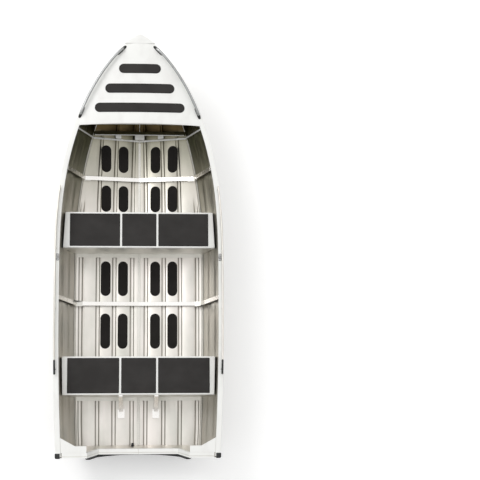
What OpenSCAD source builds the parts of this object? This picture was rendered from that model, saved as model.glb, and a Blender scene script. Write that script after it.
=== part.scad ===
// Pressed and welded aluminium rowing boat with a pointed bow, a small foredeck,
// two bench seats and a raked transom cut down for an outboard motor.
// +Y points to the bow, +X to starboard, +Z up. The boat stands on its keel at z = 0.

/* [Hull form] */
// Length over all, from the bow cap to the corner caps
hull_length = 3670; // [3050:10:4410]
// Widest beam over the gunwales
hull_beam = 1460; // [1210:10:1760]
// Height of the gunwale above the keel, from amidships aft
side_height = 535; // [450:5:640]
// How much higher the gunwale is at the bow
bow_rise = 145; // [100:5:180]
// Widest width over the chines, where bottom and sides meet
chine_beam = 1146; // [950:2:1380]
// Width over the chines at the transom
transom_beam = 1080; // [900:10:1300]
// Height of the chine above the keel bar, from amidships aft
chine_lift = 22; // [14:1:30]
// Height of the point where the chines meet the stem
stem_chine_height = 505; // [420:5:540]
// How far the stem leans forward between the chine and the gunwale
stem_lean = 75; // [50:5:95]
// Angle by which the transom leans aft
transom_rake = 12.5; // [8:0.5:20]

/* [Plates and pressings] */
// Thickness of the bottom plates
bottom_t = 2.5; // [2:0.5:4]
// Thickness of the side plates
side_t = 2; // [1.5:0.5:3]
// Depth of the strakes pressed into the bottom
strake_depth = 12; // [8:1:14]
// Half the width of a strake at its root
strake_half = 20; // [16:1:24]
// Distance of each strake from the centre line
strake_x = [62, 221, 367, 520]; // [40:1:560]
// Depth of the swages pressed into the sides
swage_depth = 7; // [4:1:10]
// Width and depth of the keel bar
keel_bar = [30, 10]; // [8:1:40]

/* [Gunwale and transom] */
// Width of the gunwale capping
gunwale_w = 46; // [38:1:56]
// Depth of the outer lip of the gunwale
gunwale_lip = 30; // [22:1:40]
// Thickness of the gunwale and transom cappings
cap_t = 2.5; // [2:0.5:4]
// Thickness of the transom plate
transom_t = 3; // [2:0.5:5]
// Depth of the motor cut-out in the transom
cutout_depth = 160; // [100:5:200]
// Width of the cut-out at its bottom and at its top
cutout_w = [672, 862]; // [500:1:1000]
// Width of the transom capping, fore and aft
transom_cap_w = 46; // [34:1:50]
// Thickness of the motor pad on the outside of the transom
motor_pad_t = 20; // [12:1:20]

/* [Deck, seats and floor] */
// Distance from amidships to the aft edge of the foredeck
deck_aft = 1033; // [980:1:1080]
// How far the middle of that edge lies forward of its ends
deck_arch = 13; // [0:1:30]
// Crown of the foredeck at its widest
deck_crown = 26; // [10:1:40]
// Thickness of deck, seat and frame plates
plate_t = 2.5; // [2:0.5:4]
// Height of the seat tops above the keel
seat_height = 400; // [330:5:480]
// Aft and forward edge of the forward seat
forward_seat_y = [-14, 302]; // [-120:1:400]
// Aft and forward edge of the aft seat
aft_seat_y = [-1293, -962]; // [-1320:1:-850]
// Thickness of the foam pads
pad_t = 6; // [4:1:10]
// Width of the foam pads on the floor
pad_w = 88; // [70:1:100]
// Width of the foam strips on the deck
strip_w = 82; // [70:1:100]
// Distance of the floor pads from the centre line
floor_pad_x = [144, 298]; // [120:1:340]

/* [Fittings] */
// Outer diameter of the bow rails
bow_rail_d = 22; // [16:1:28]
// Outer diameter of the side rails
side_rail_d = 16; // [12:1:16]
// Diameter of the hole for a rowlock pin
rowlock_bore = 13.2; // [12:0.1:14]

/* [Hidden] */

gap = 0.3;                                  // seat of one piece on the next
half_l = hull_length / 2;
half_b = hull_beam / 2;
half_c = chine_beam / 2;
rake_tan = tan(transom_rake);
stations = 27;                              // cross sections along a plate
nose = 30;                                  // from the stem plates' top to the tip of the bow cap
gunwale_run = 0.56;                         // share of the length that curves in to the bow
stern_share = 0.95;                         // beam at the stern, as a share of the widest
plate_inset = 12;                           // side plate inside the gunwale's outer edge
corner_cap_t = 3;
bow_cap_t = 4;
stern_cover = 2 * gap + (transom_t + cap_t) / cos(transom_rake) + corner_cap_t;
transom_foot = -half_l + rake_tan * side_height + stern_cover;  // transom plane at z = 0
stem_y = half_l - nose - stem_lean;         // where the chines meet the stem
rake_zone = transom_foot + 400;             // the rake fades out forward of here
stem_zone = stem_y - 445;                   // the stem's lean fades out aft of here

function clamp(v, lo, hi) = max(lo, min(hi, v));
function lerp(a, b, t) = a + (b - a) * t;
// share of the full width, at a distance from the tip and over the given run
function fullness(d, run, p, q) = pow(1 - pow(1 - clamp(d / run, 0.0005, 1), p), q);
// small taper towards the stern, from 1 a little aft of amidships to the given share
function stern_taper(y, share) =
    1 - (1 - share) * pow(clamp((-y - half_l * 0.3) / (half_l * 0.7), 0, 1), 2);

// gunwale: half beam and height of its outer top edge
function gunwale_x(y) = half_b * fullness(half_l - bow_cap_t - y, gunwale_run * hull_length, 2.6, 0.75)
    * stern_taper(y, stern_share);
function sheer_z(y) = side_height
    + bow_rise * pow(clamp((y + half_l * 0.22) / (half_l * 1.22), 0, 1), 2.2);
// top edge of the side plate
function plate_top_x(y) = max(nose * 0.4, (half_b - plate_inset) * stern_taper(y, stern_share)
    * fullness(half_l - nose + 2 - y, gunwale_run * hull_length - nose, 2.6, 0.75));
function plate_top_z(y) = sheer_z(y) - cap_t - gap;
// chine and keel
function chine_x(y) = half_c * fullness(stem_y + 7 - y, gunwale_run * hull_length * 0.932, 2.4, 0.76)
    * stern_taper(y, transom_beam / chine_beam);
function chine_z(y) = lerp(keel_bar.y + gap + chine_lift, stem_chine_height,
    pow(clamp((y + half_l * 0.11) / (stem_y + half_l * 0.11), 0, 1), 2.4));
function keel_z(y) = lerp(keel_bar.y + gap, stem_chine_height,
    1 - pow(1 - pow(clamp((y - half_l * 0.27) / (stem_y - half_l * 0.27), 0, 1), 2.2), 0.625));
// underside of the bottom between keel and chine
function bottom_z(x, y) = lerp(keel_z(y), chine_z(y), min(1, abs(x) / chine_x(y)));
// lean of the transom and of the stem
function rake_shift(y, z) = -rake_tan * z * clamp((rake_zone - y) / (rake_zone - transom_foot), 0, 1);
function stem_shift(y, v) = v * stem_lean * pow(clamp((y - stem_zone) / (stem_y - stem_zone), 0, 1), 2);
function station_y(i) = lerp(transom_foot, stem_y, 1 - pow(1 - i / (stations - 1), 1.6));

function station_at(y) = (stations - 1) * (1 - pow((stem_y - y) / (stem_y - transom_foot), 1 / 1.6));
// value of f on the flat facets between the two stations next to y
function on_hull(f, y) = let (i = clamp(floor(station_at(y)), 0, stations - 2), a = station_y(i),
    b = station_y(i + 1)) lerp(f(a), f(b), (y - a) / (b - a));
// where a piece seats inside the hull: on the bottom plates, and against the side plates
function floor_z(x, y) = let (c = on_hull(function (v) [keel_z(v), chine_z(v), chine_x(v)], y))
    lerp(c[0], c[1], abs(x) / c[2]) + bottom_t + gap;
function wall_x(y, z) = let (c = on_hull(function (v) [chine_x(v), chine_z(v), plate_top_x(v),
    plate_top_z(v)], y), foot = c[1] + bottom_t + gap)
    lerp(c[0], c[2], (z - foot) / (c[3] - foot)) - side_t - gap;

// --- solids from rows of points --------------------------------------------------

// closed plate between two equal grids of points; seen from the skin's side the grid's
// columns run to the right of its rows
module plate_between(skin, back) {
    n = len(skin);
    m = len(skin[0]);
    function s(i, j) = i * m + j;
    function b(i, j) = n * m + i * m + j;
    function quad(p, q, r, t) = [[p, q, r], [p, r, t]];
    polyhedron(concat([for (row = skin) each row], [for (row = back) each row]), concat(
        [for (i = [0 : n - 2], j = [0 : m - 2])
            each quad(s(i, j + 1), s(i + 1, j + 1), s(i + 1, j), s(i, j))],
        [for (i = [0 : n - 2], j = [0 : m - 2])
            each quad(b(i + 1, j), b(i + 1, j + 1), b(i, j + 1), b(i, j))],
        [for (j = [0 : m - 2]) each quad(s(0, j + 1), s(0, j), b(0, j), b(0, j + 1))],
        [for (j = [0 : m - 2])
            each quad(s(n - 1, j), s(n - 1, j + 1), b(n - 1, j + 1), b(n - 1, j))],
        [for (i = [0 : n - 2]) each quad(s(i, 0), s(i + 1, 0), b(i + 1, 0), b(i, 0))],
        [for (i = [0 : n - 2])
            each quad(s(i + 1, m - 1), s(i, m - 1), b(i, m - 1), b(i + 1, m - 1))]));
}

// round bar along a path of points
module bar_along(path, d, sides = 10) {
    n = len(path);
    function dir(i) = let (a = path[max(0, i - 1)], c = path[min(n - 1, i + 1)]) (c - a) / norm(c - a);
    function side(i) = let (c = cross(dir(i), [0, 0, 1])) c / norm(c);
    pts = [for (i = [0 : n - 1], k = [0 : sides - 1])
        path[i] + d / 2 * (cos(360 * k / sides) * side(i)
            + sin(360 * k / sides) * cross(side(i), dir(i)))];
    polyhedron(pts, concat([[for (k = [sides - 1 : -1 : 0]) k]],
        [for (i = [0 : n - 2], k = [0 : sides - 1]) let (a = i * sides, e = (k + 1) % sides)
            each [[a + k, a + sides + e, a + sides + k], [a + k, a + e, a + sides + e]]],
        [[for (k = [0 : sides - 1]) (n - 1) * sides + k]]));
}

module port() { mirror([1, 0, 0]) children(); }

// plate in a cross section of the boat, its forward face at y, drawn as [x, z]
module cross_plate(y, t) { translate([0, y, 0]) rotate([90, 0, 0]) linear_extrude(t) children(); }

// --- hull plates -----------------------------------------------------------------

// forward end of each strake, and how quickly it draws in with the chine
strake_end = [0.69, 0.84, 0.60, 0.27] * half_l;
strake_draw = [0.9, 0.3, 0.3, 0.3];
strake_limit = [0.4, 0.73, 0.84, 0.93];
strake_fade = 160;

function strake_pos(k, y) = min(strake_x[k] * pow(chine_x(y) / half_c, strake_draw[k]),
    strake_limit[k] * chine_x(y));
function strake_drop(k, y) = strake_depth * clamp((strake_end[k] - y) / strake_fade, 0, 1);
function bottom_row(y) = let (w = min(strake_half, 0.035 * chine_x(y)))
    concat([[gap / 2, keel_z(y)]], [for (k = [0 : 3]) let (x = strake_pos(k, y), d = strake_drop(k, y))
        each [[x - w, bottom_z(x - w, y)], [x - w / 2, bottom_z(x - w / 2, y) - d],
            [x + w / 2, bottom_z(x + w / 2, y) - d], [x + w, bottom_z(x + w, y)]]],
        [[chine_x(y), chine_z(y)]]);
function bottom_points(y, up) = [for (p = bottom_row(y)) [p.x, y + rake_shift(y, p.y + up), p.y + up]];

module bottom() {
    plate_between([for (i = [0 : stations - 1]) bottom_points(station_y(i), 0)],
        [for (i = [0 : stations - 1]) bottom_points(station_y(i), bottom_t)]);
}

// height shares and depths of the two swages on the side
swage_rows = [[0, 0], [0.26, 0], [0.31, 1], [0.39, 1], [0.44, 0], [0.60, 0], [0.65, 1], [0.73, 1],
    [0.78, 0], [1, 0]];
function swage_share(y) = clamp((half_l * 0.72 - y) / 200, 0, 1) * clamp((y - transom_foot) / 60, 0, 1);
function side_points(y, back) = let (foot = chine_z(y) + bottom_t + gap,
    top_y = y + rake_shift(y, plate_top_z(y)) + stem_shift(y, 1), foot_y = y + rake_shift(y, foot))
    [for (r = swage_rows) [lerp(chine_x(y), plate_top_x(top_y), r[0])
        + swage_depth * r[1] * swage_share(y) - back,
        lerp(foot_y, top_y, r[0]), lerp(foot, plate_top_z(top_y), r[0])]];

module side() {
    plate_between([for (i = [0 : stations - 1]) side_points(station_y(i), 0)],
        [for (i = [0 : stations - 1]) side_points(station_y(i), side_t)]);
}

// centre line from the transom foot, round the forefoot and up the stem
function keel_line() = concat(
    [for (i = [0 : stations - 1]) let (y = station_y(i)) [y + rake_shift(y, keel_z(y)), keel_z(y)]],
    [for (v = [0.25 : 0.25 : 1]) [stem_y + v * stem_lean,
        lerp(stem_chine_height, plate_top_z(stem_y + stem_lean), v) - (v == 1 ? 2 : 0)]]);
function line_out(line, i) = let (a = line[max(0, i - 1)], c = line[min(len(line) - 1, i + 1)],
    t = (c - a) / norm(c - a)) [t.y, -t.x];

module keel_bar_solid() {
    line = keel_line();
    half = keel_bar.x / 2;
    function row(depth) = [for (i = [0 : len(line) - 1]) let (o = line_out(line, i),
        p = line[i] + o * depth) [[-half, p.x, p.y], [half, p.x, p.y]]];
    color("silver") plate_between(row(gap + keel_bar.y), row(gap));
}

// --- gunwales, bow and deck ------------------------------------------------------

inner_lip = 16;
gunwale_fore = half_l - 30;                 // the gunwales stop under the bow cap
gunwale_aft = transom_foot - rake_tan * (side_height - inner_lip) + 1;
function gunwale_y(i) = lerp(gunwale_aft, gunwale_fore, 1 - pow(1 - i / (stations - 1), 1.6));
function gunwale_in(y) = let (slope = (gunwale_x(y + 1) - gunwale_x(y - 1)) / 2)
    [-1, slope] / norm([1, slope]);
// point on the gunwale, d inboard of the outer edge and h above the top
function gunwale_point(y, d, h) = [max(1, gunwale_x(y) + gunwale_in(y).x * d),
    y + gunwale_in(y).y * d, sheer_z(y) + h];

module gunwale() {
    outer = [[0, -gunwale_lip], [0, 0], [gunwale_w, 0], [gunwale_w, -inner_lip]];
    inner = [[cap_t, -gunwale_lip], [cap_t, -cap_t], [gunwale_w - cap_t, -cap_t],
        [gunwale_w - cap_t, -inner_lip]];
    function row(profile, y) = [for (p = profile) gunwale_point(y, p.x, p.y)];
    plate_between([for (i = [0 : stations - 1]) row(outer, gunwale_y(i))],
        [for (i = [0 : stations - 1]) row(inner, gunwale_y(i))]);
}

deck_lap = 36;                              // deck edge, inboard of the gunwale's outer edge
deck_fore = half_l - 82;

// cap over the meeting ends of the gunwales, with a lip down round the nose
module bow_cap() {
    from = deck_fore + gap;
    steps = [0, 0.2, 0.4, 0.6, 0.75, 0.87, 0.95, 1];
    function row(y, x, up) = let (z = sheer_z(y + gunwale_w * 0.9) + gap + up)
        [[-x, y, z - gunwale_lip], [-x, y, z], [0, y, z + 2], [x, y, z], [x, y, z - gunwale_lip]];
    color("whitesmoke") plate_between(
        [for (t = steps) let (y = lerp(from, half_l - bow_cap_t, t)) row(y, gunwale_x(y) + gap, 0)],
        [for (t = steps) let (y = lerp(from, half_l, t))
            row(y, gunwale_x(y - bow_cap_t) + gap, bow_cap_t)]);
}

eye_ring = 18;
eye_rod_d = 10;
eye_z = stem_chine_height + 60;

module bow_eye() {
    share = (eye_z - stem_chine_height) / (plate_top_z(stem_y + stem_lean) - stem_chine_height);
    lean = atan(stem_lean / (plate_top_z(stem_y + stem_lean) - stem_chine_height));
    base = [26, 3, 62];
    color("dimgray") translate([0, stem_y + share * stem_lean, eye_z]) rotate([-lean, 0, 0])
        translate([0, keel_bar.y + 3 * gap, 0]) {
            translate([-base.x / 2, 0, -base.z / 2]) cube(base);
            translate([0, base.y - 1, 0]) rotate([0, 90, 0]) rotate_extrude(angle = 180, $fn = 48)
                translate([eye_ring, 0]) circle(d = eye_rod_d, $fn = 24);
        }
}

// edge of the deck's underside on the gunwale: half width and height at y
function deck_edge(y) = gunwale_point(y - deck_lap * gunwale_in(y).y, deck_lap, gap);
function deck_z(x, y) = let (e = deck_edge(y)) e.z
    + deck_crown * e.x / deck_edge(deck_aft).x * (1 - pow(x / e.x, 2));

module foredeck() {
    columns = 16;
    rows = 11;
    function row(t, up) = let (y0 = lerp(deck_aft, deck_fore, t), half = deck_edge(y0).x)
        [for (k = [0 : columns]) let (s = 2 * k / columns - 1,
            y = y0 + deck_arch * (1 - s * s) * (1 - t)) [half * s, y, deck_z(half * s, y) + up]];
    color("white") plate_between([for (i = [0 : rows]) row(i / rows, 0)],
        [for (i = [0 : rows]) row(i / rows, plate_t)]);
}

module deck_beam() {
    depth = 38;
    y = deck_aft + deck_arch + 4;
    half = gunwale_point(y - gunwale_w * gunwale_in(y).y, gunwale_w + 2, 0).x;
    top = [for (k = [-8 : 8]) let (x = half * k / 8) [x, deck_z(x, y) - 2 * gap]];
    color("white") cross_plate(y, plate_t)
        polygon(concat(top, [for (k = [16 : -1 : 0]) top[k] - [0, depth]]));
}

// foam pad with round ends laid on a curved plate, its length along x or y
module pad_on(at, length, width, along_x, steps, height_at) {
    r = width / 2;
    function spot(u, v, up) = let (x = at.x + (along_x ? u : v), y = at.y + (along_x ? -v : u))
        [x, y, height_at(x, y) + up];
    function u_at(i) = -length / 2 * cos(180 * i / steps);
    function half_at(u) = let (e = max(0, abs(u) - length / 2 + r)) sqrt(max(9, r * r - e * e));
    function rows(up) = [for (i = [0 : steps]) let (u = u_at(i), h = half_at(u))
        [for (k = [-1 : 1]) spot(u, k * h, up)]];
    plate_between(rows(0), rows(pad_t));
}

deck_strip_y = [1530, 1356, 1187];
deck_strip_l = [365, 602, 781];

module deck_strips() {
    color([0.15, 0.15, 0.15]) for (i = [0 : 2]) pad_on([0, deck_strip_y[i]], deck_strip_l[i], strip_w, true,
        20, function (x, y) deck_z(x, y) + plate_t + gap);
}

floor_bay_y = [[729, 964], [373, 610], [-390, -77], [-862, -548]];

module floor_pads() {
    color([0.15, 0.15, 0.15]) for (bay = floor_bay_y, x = floor_pad_x, s = [-1, 1])
        pad_on([s * x, (bay[0] + bay[1]) / 2], bay[1] - bay[0], pad_w, false, 14,
            function (x, y) floor_z(x, y) + gap);
}

// --- frames inside the hull ------------------------------------------------------

// inside outline of the hull at y, from the port wall over the bottom to the starboard wall,
// drawn in by a margin and ending at the given height
function inside(y, margin, z_end) = let (c = on_hull(function (v) [chine_x(v), chine_z(v)], y),
    knee = c[1] + bottom_t + gap + margin,
    half = [[wall_x(y, z_end) - margin, z_end], [wall_x(y, knee) - margin, knee],
        [0, floor_z(0, y) + margin]])
    concat([for (p = [half[0], half[1]]) [-p.x, p.y]], [half[2], half[1], half[0]]);

// pressed frame: an upright web against the hull, with a flange along its free edge
module hull_frame(y, height, flange) {
    top = gunwale_point(y - flange, 0, -inner_lip - gap).z;
    function band(a, b) = let (o = inside(y, a, top), i = inside(y, b, top))
        concat(o, [for (k = [len(i) - 1 : -1 : 0]) i[k]]);
    cross_plate(y, plate_t) polygon(band(0, height));
    cross_plate(y, flange) polygon(band(height - plate_t, height));
}

frame_height = 30;
frame_flange = 36;
deck_frame_y = deck_aft - 11;
forward_frame_y = 682;
middle_frame_y = -445;

module deck_frame() { color("gainsboro") hull_frame(deck_frame_y, 20, 16); }
module forward_frame() { color("white") hull_frame(forward_frame_y, frame_height, frame_flange); }
module middle_frame() { color("white") hull_frame(middle_frame_y, frame_height, frame_flange); }

sill_y = deck_frame_y + 50;

module deck_sill() {
    depth = 14;
    shelf = 34;
    top = on_hull(function (v) chine_z(v), sill_y) + bottom_t + gap + depth;
    panel = inside(sill_y, 0, top);
    half = panel[len(panel) - 1].x;
    color("silver") {
        cross_plate(sill_y, plate_t) polygon(panel);
        cross_plate(sill_y, shelf) translate([-half, top - plate_t]) square([2 * half, plate_t]);
    }
}

// --- seats -----------------------------------------------------------------------

seat_gap = 14;                              // from the seat's end to the hull side
seat_pad_out = 40;                          // from the seat's end to the outer pads
seat_lip = 38;

function seat_end(y) = wall_x(y, seat_height) - seat_gap;
function seat_outline(ys, inset) = let (a = ys[0] + inset, f = ys[1] - inset)
    [[-seat_end(a) + inset, a], [seat_end(a) - inset, a], [seat_end(f) - inset, f],
        [-seat_end(f) + inset, f]];

module seat(ys) {
    translate([0, 0, seat_height - seat_lip]) difference() {
        linear_extrude(seat_lip) polygon(seat_outline(ys, 0));
        translate([0, 0, -1]) linear_extrude(seat_lip - plate_t + 1) polygon(seat_outline(ys, plate_t));
    }
}

// panels that carry a seat: aft one with a foot along the bottom, forward one plain
module seat_frame(ys) {
    foot = 34;
    shoulder = seat_height - seat_lip - gap;
    module panel(y) {
        half = min(seat_end(ys[0]), seat_end(ys[1])) - plate_t - 4 * gap;
        top = seat_height - plate_t - gap;
        cross_plate(y, plate_t) polygon(concat(inside(y, 0, shoulder),
            [[half, shoulder], [half, top], [-half, top], [-half, shoulder]]));
    }
    aft_y = ys[0] + 2 * plate_t + gap;
    panel(aft_y);
    panel(ys[1] - plate_t - gap);
    foot_half = inside(aft_y, 0, shoulder)[3].x - 4;
    foot_line = [for (x = [-foot_half, 0, foot_half]) [x, floor_z(x, aft_y)]];
    cross_plate(aft_y - plate_t / 2, foot) polygon(concat(foot_line,
        [for (k = [2 : -1 : 0]) foot_line[k] + [0, plate_t]]));
}

seat_pad_split = [149.5, 167];                // half width of the middle pad; inner edge of the others
seat_pad_edge = 14;

module seat_pads(ys) {
    a = ys[0] + seat_pad_edge;
    f = ys[1] - seat_pad_edge;
    outer = min(seat_end(ys[0]), seat_end(ys[1])) - seat_pad_out;
    translate([0, 0, seat_height + gap]) linear_extrude(pad_t) {
        translate([-seat_pad_split[0], a]) square([2 * seat_pad_split[0], f - a]);
        for (s = [0, 1]) mirror([s, 0]) translate([seat_pad_split[1], a])
            square([outer - seat_pad_split[1], f - a]);
    }
}

stay_x = 153;

// strut from the aft seat down to a foot on the bottom
module seat_stay() {
    width = 34;
    foot = [62, 80, 20];
    reach = 104;                            // from the seat's edge to the foot
    y = aft_seat_y[0] - gap;
    floor_at = floor_z(stay_x + foot.x / 2, y - reach) + gap;
    top = seat_height - 6;
    color("white") translate([stay_x, 0, 0]) {
        translate([-width / 2, 0, 0]) rotate([90, 0, 90]) linear_extrude(width) polygon([[y, top],
            [y, top - seat_lip + 10], [y - reach + 8, floor_at + 4], [y - reach - 22, floor_at + 4],
            [y - reach - 22, floor_at + 16], [y - 14, top]]);
        translate([-foot.x / 2, y - reach - foot.y, floor_at]) cube(foot);
    }
}

// --- transom ---------------------------------------------------------------------

// plate lying on the transom, out from the ends of the hull plates, drawn as [x, up the slope]
module on_transom(out, t) {
    translate([0, transom_foot, 0]) rotate([90 + transom_rake, 0, 0]) translate([0, 0, gap + out])
        linear_extrude(t) children();
}
function slope_up(z) = z / cos(transom_rake);
cap_end = gunwale_point(gunwale_aft, gunwale_w + 6, 0).x;
cutout_k = tan(atan(cutout_depth / ((cutout_w[1] - cutout_w[0]) / 2)) / 2);
// top edge of the transom with its cut-out, lowered by e: [x, z] from starboard to the middle
function transom_top(e) = [[cutout_w[1] / 2 + e * cutout_k, side_height - e],
    [cutout_w[0] / 2 + e * cutout_k, side_height - cutout_depth - e]];
bung_at = [-50, 52];
bung_hole = 20;
bung_head = [30, 6];                        // flange inside: diameter and thickness
bung_knob = 26;                             // how far the bung reaches into the boat

module transom_plate() {
    low = [for (p = bottom_row(transom_foot)) p + [0, transom_t * sin(transom_rake) + gap]];
    half = concat([for (k = [1 : len(low) - 1]) low[k]],
        [[plate_top_x(gunwale_aft), side_height - cap_t - gap]], transom_top(cap_t + gap));
    color("dimgray") on_transom(0, transom_t) difference() {
        polygon(concat([[0, slope_up(low[0].y)]], [for (p = half) [p.x, slope_up(p.y)]],
            [for (k = [len(half) - 1 : -1 : 0]) [-half[k].x, slope_up(half[k].y)]]));
        translate([bung_at.x, slope_up(bung_at.y)]) circle(d = bung_hole, $fn = 48);
    }
}

module transom_cap() {
    lip = 22;
    out = transom_t + 2 * gap;
    function aft_y(z, o) = transom_foot - rake_tan * z - (out + o) / cos(transom_rake);
    function edge(e) = concat([[cap_end, side_height - e]], transom_top(e));
    function full(e) = let (h = edge(e)) concat([for (k = [0 : 2]) [-h[k].x, h[k].y]],
        [for (k = [2 : -1 : 0]) h[k]]);
    function rows(e, o, w) = let (a = full(e), b = full(lip)) [for (k = [0 : 5])
        [[b[k].x, aft_y(b[k].y, o), b[k].y], [a[k].x, aft_y(a[k].y, o), a[k].y],
            [a[k].x, aft_y(a[k].y, cap_t) + w, a[k].y], [b[k].x, aft_y(b[k].y, cap_t) + w, b[k].y]]];
    color("white") plate_between(rows(0, cap_t, transom_cap_w), rows(cap_t, 0, transom_cap_w - cap_t));
}

pad_clear = 26;                             // motor pad below the capping's top

module motor_pad() {
    top = transom_top(pad_clear);
    slope = (top[0].x - top[1].x) / (top[0].y - top[1].y);
    wing = 0.62 * cutout_depth;
    low = top[1].y - 150;
    half = [[top[1].x + 60, low], [top[1].x + slope * wing + 46, top[1].y + wing - 60],
        [top[1].x + slope * wing + 30, top[1].y + wing], [top[1].x + slope * wing, top[1].y + wing],
        top[1]];
    color([0.12, 0.12, 0.12]) on_transom(transom_t + gap, motor_pad_t)
        polygon(concat([for (p = half) [p.x, slope_up(p.y)]],
            [for (k = [len(half) - 1 : -1 : 0]) [-half[k].x, slope_up(half[k].y)]]));
}

module transom_doublers() {
    low = [370, 560];
    high = [395, 505];
    zs = [78, 196];
    color("gray") on_transom(transom_t + gap, 2) for (s = [0, 1]) mirror([s, 0])
        polygon([[low[0], slope_up(zs[0])], [low[1], slope_up(zs[0] + 6)],
            [high[1], slope_up(zs[1])], [high[0], slope_up(zs[1])]]);
}

knee_fore = [125, 56];                      // reach forward at the side, and beside the cut-out
knee_slant = 0.56;                          // share of the knee's width that its slanting edge takes

module transom_knee() {
    inner = cutout_w[1] / 2 + 4;
    y = transom_foot - rake_tan * side_height - (transom_t + 2 * gap + cap_t) / cos(transom_rake)
        + transom_cap_w + gap + rake_tan * plate_t;
    fore = y + knee_fore[0];
    function side_x(v) = gunwale_point(v - gunwale_w * gunwale_in(v).y, gunwale_w + 2 * gap, 0).x;
    translate([0, 0, side_height - plate_t]) linear_extrude(plate_t)
        polygon([[inner, y], [side_x(y), y], [side_x(fore), fore],
            [lerp(side_x(fore), inner, knee_slant), y + knee_fore[1]], [inner, y + knee_fore[1]]]);
}

module corner_cap() {
    length = 44;
    g = gunwale_x(-half_l + length + 2);
    deep = gunwale_lip - 4;
    r = 14;
    outer = g + gap + corner_cap_t;
    color([0.1, 0.1, 0.1]) translate([0, -half_l, side_height - deep]) difference() {
        linear_extrude(deep + gap + corner_cap_t) union() {
            translate([outer - 42, 0]) square([42 - r, length]);
            translate([outer - r - 1, r]) square([r + 1, length - r]);
            translate([outer - r, r]) circle(r = r, $fn = 48);
        }
        translate([outer - 43, corner_cap_t, -1]) cube([43 - corner_cap_t, length, deep + gap + 1]);
    }
}

module drain_bung() {
    color([0.1, 0.1, 0.1]) translate([0, transom_foot, 0]) rotate([90 + transom_rake, 0, 0])
        translate([bung_at.x, slope_up(bung_at.y), 0]) {
            translate([0, 0, -bung_head[1]]) cylinder(d = bung_head[0], h = bung_head[1], $fn = 48);
            translate([0, 0, -bung_knob]) cylinder(d = bung_hole, h = bung_knob, $fn = 48);
            cylinder(d = bung_hole - 2 * gap, h = transom_t + 2 * gap + 3, $fn = 48);
            translate([0, 0, transom_t + 2 * gap]) cylinder(d = bung_head[0] - 4, h = 4, $fn = 48);
        }
}

// --- rails and rowlocks ----------------------------------------------------------

function sheer_tilt(y) = atan((sheer_z(y + 5) - sheer_z(y - 5)) / 10);
bow_rail_in = 22;
bow_rail_h = 46;
bow_rail_y = [1140, 1718];
rail_foot_h = 16;

// the rail stands on the gunwale: its place at a distance from its aft end
function bow_rail_point(t) = gunwale_point(lerp(bow_rail_y[0], bow_rail_y[1], t), bow_rail_in,
    rail_foot_h + (bow_rail_h - rail_foot_h) * pow(sin(180 * clamp(t, 0, 1)), 0.28));

bow_rail_steps = [0, 0.008, 0.03, 0.07, 0.15, 0.27, 0.39, 0.5, 0.61, 0.73, 0.85, 0.93, 0.97, 0.992, 1];

module bow_rail() { color("white") bar_along([for (t = bow_rail_steps) bow_rail_point(t)], bow_rail_d); }

// how far the rail's end face reaches below the rail's middle line
function bow_rail_drop(end) = let (t = end == 0 ? bow_rail_steps[1] : 1 - bow_rail_steps[1],
    d = bow_rail_point(t) - bow_rail_point(end)) bow_rail_d / 2 * norm([d.x, d.y]) / norm(d);

module bow_rail_feet() {
    d = bow_rail_d + 2;
    color([0.12, 0.12, 0.12]) for (end = [0, 1]) let (y = bow_rail_y[end],
        lift = gap + d / 2 * tan(sheer_tilt(y))) translate(gunwale_point(y, bow_rail_in, lift))
            cylinder(d = d, h = rail_foot_h - bow_rail_drop(end) - lift - gap, $fn = 48);
}

side_rail_in = 11;
side_rail_h = 26;
side_rail_feet = [475, -45, -565, -1085];
side_rail_y = [-1005, -195, 65, 295, 505];   // it bends only where the gunwale curves in
grip_y = -1130;

module side_rail_foot(d) {
    cylinder(d = 12, h = side_rail_h - d / 2 * cos(18) - 2 * gap, $fn = 32);
}

module side_rail() {
    path = [for (y = side_rail_y) gunwale_point(y, side_rail_in, side_rail_h)];
    color("gainsboro") {
        bar_along(path, side_rail_d);
        for (k = [0 : 2]) translate(gunwale_point(side_rail_feet[k], side_rail_in, gap))
            rotate([sheer_tilt(side_rail_feet[k]), 0, 0]) side_rail_foot(side_rail_d);
    }
}

module side_rail_grip() {
    path = [for (y = [grip_y, side_rail_y[0] - gap]) gunwale_point(y, side_rail_in, side_rail_h)];
    color([0.1, 0.1, 0.1]) {
        bar_along(path, side_rail_d + 2);
        translate(gunwale_point(side_rail_feet[3], side_rail_in, gap))
            side_rail_foot(side_rail_d + 2);
    }
}

rowlock_y = -119;
rowlock_in = 31;
rowlock_h = 17;

module rowlock_socket() {
    at = gunwale_point(rowlock_y, rowlock_in, 2 * gap);
    color("gray") translate(at) difference() {
        union() {
            translate([-14, -32, 0]) cube([28, 64, 4]);
            cylinder(d = 23, h = rowlock_h, $fn = 64);
        }
        translate([0, 0, 2]) cylinder(d = rowlock_bore, h = rowlock_h, $fn = 64);
    }
}

color("silver") port() bottom();  // bottom_port
color("silver") bottom();  // bottom_starboard
color("lightgray") port() side();  // side_port
color("lightgray") side();  // side_starboard
keel_bar_solid();  // keel_bar
transom_plate();
transom_cap();
transom_doublers();
motor_pad();
color("white") port() transom_knee();  // transom_knee_port
color("white") transom_knee();  // transom_knee_starboard
port() corner_cap();  // corner_cap_port
corner_cap();  // corner_cap_starboard
drain_bung();
color("white") port() gunwale();  // gunwale_port
color("white") gunwale();  // gunwale_starboard
bow_cap();
bow_eye();
foredeck();
deck_beam();
deck_strips();
deck_sill();
deck_frame();
forward_frame();
middle_frame();
color("white") seat(forward_seat_y);  // forward_seat
color("gainsboro") seat_frame(forward_seat_y);  // forward_seat_frame
color([0.15, 0.15, 0.15]) seat_pads(forward_seat_y);  // forward_seat_pads
color("white") seat(aft_seat_y);  // aft_seat
color("gainsboro") seat_frame(aft_seat_y);  // aft_seat_frame
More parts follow.
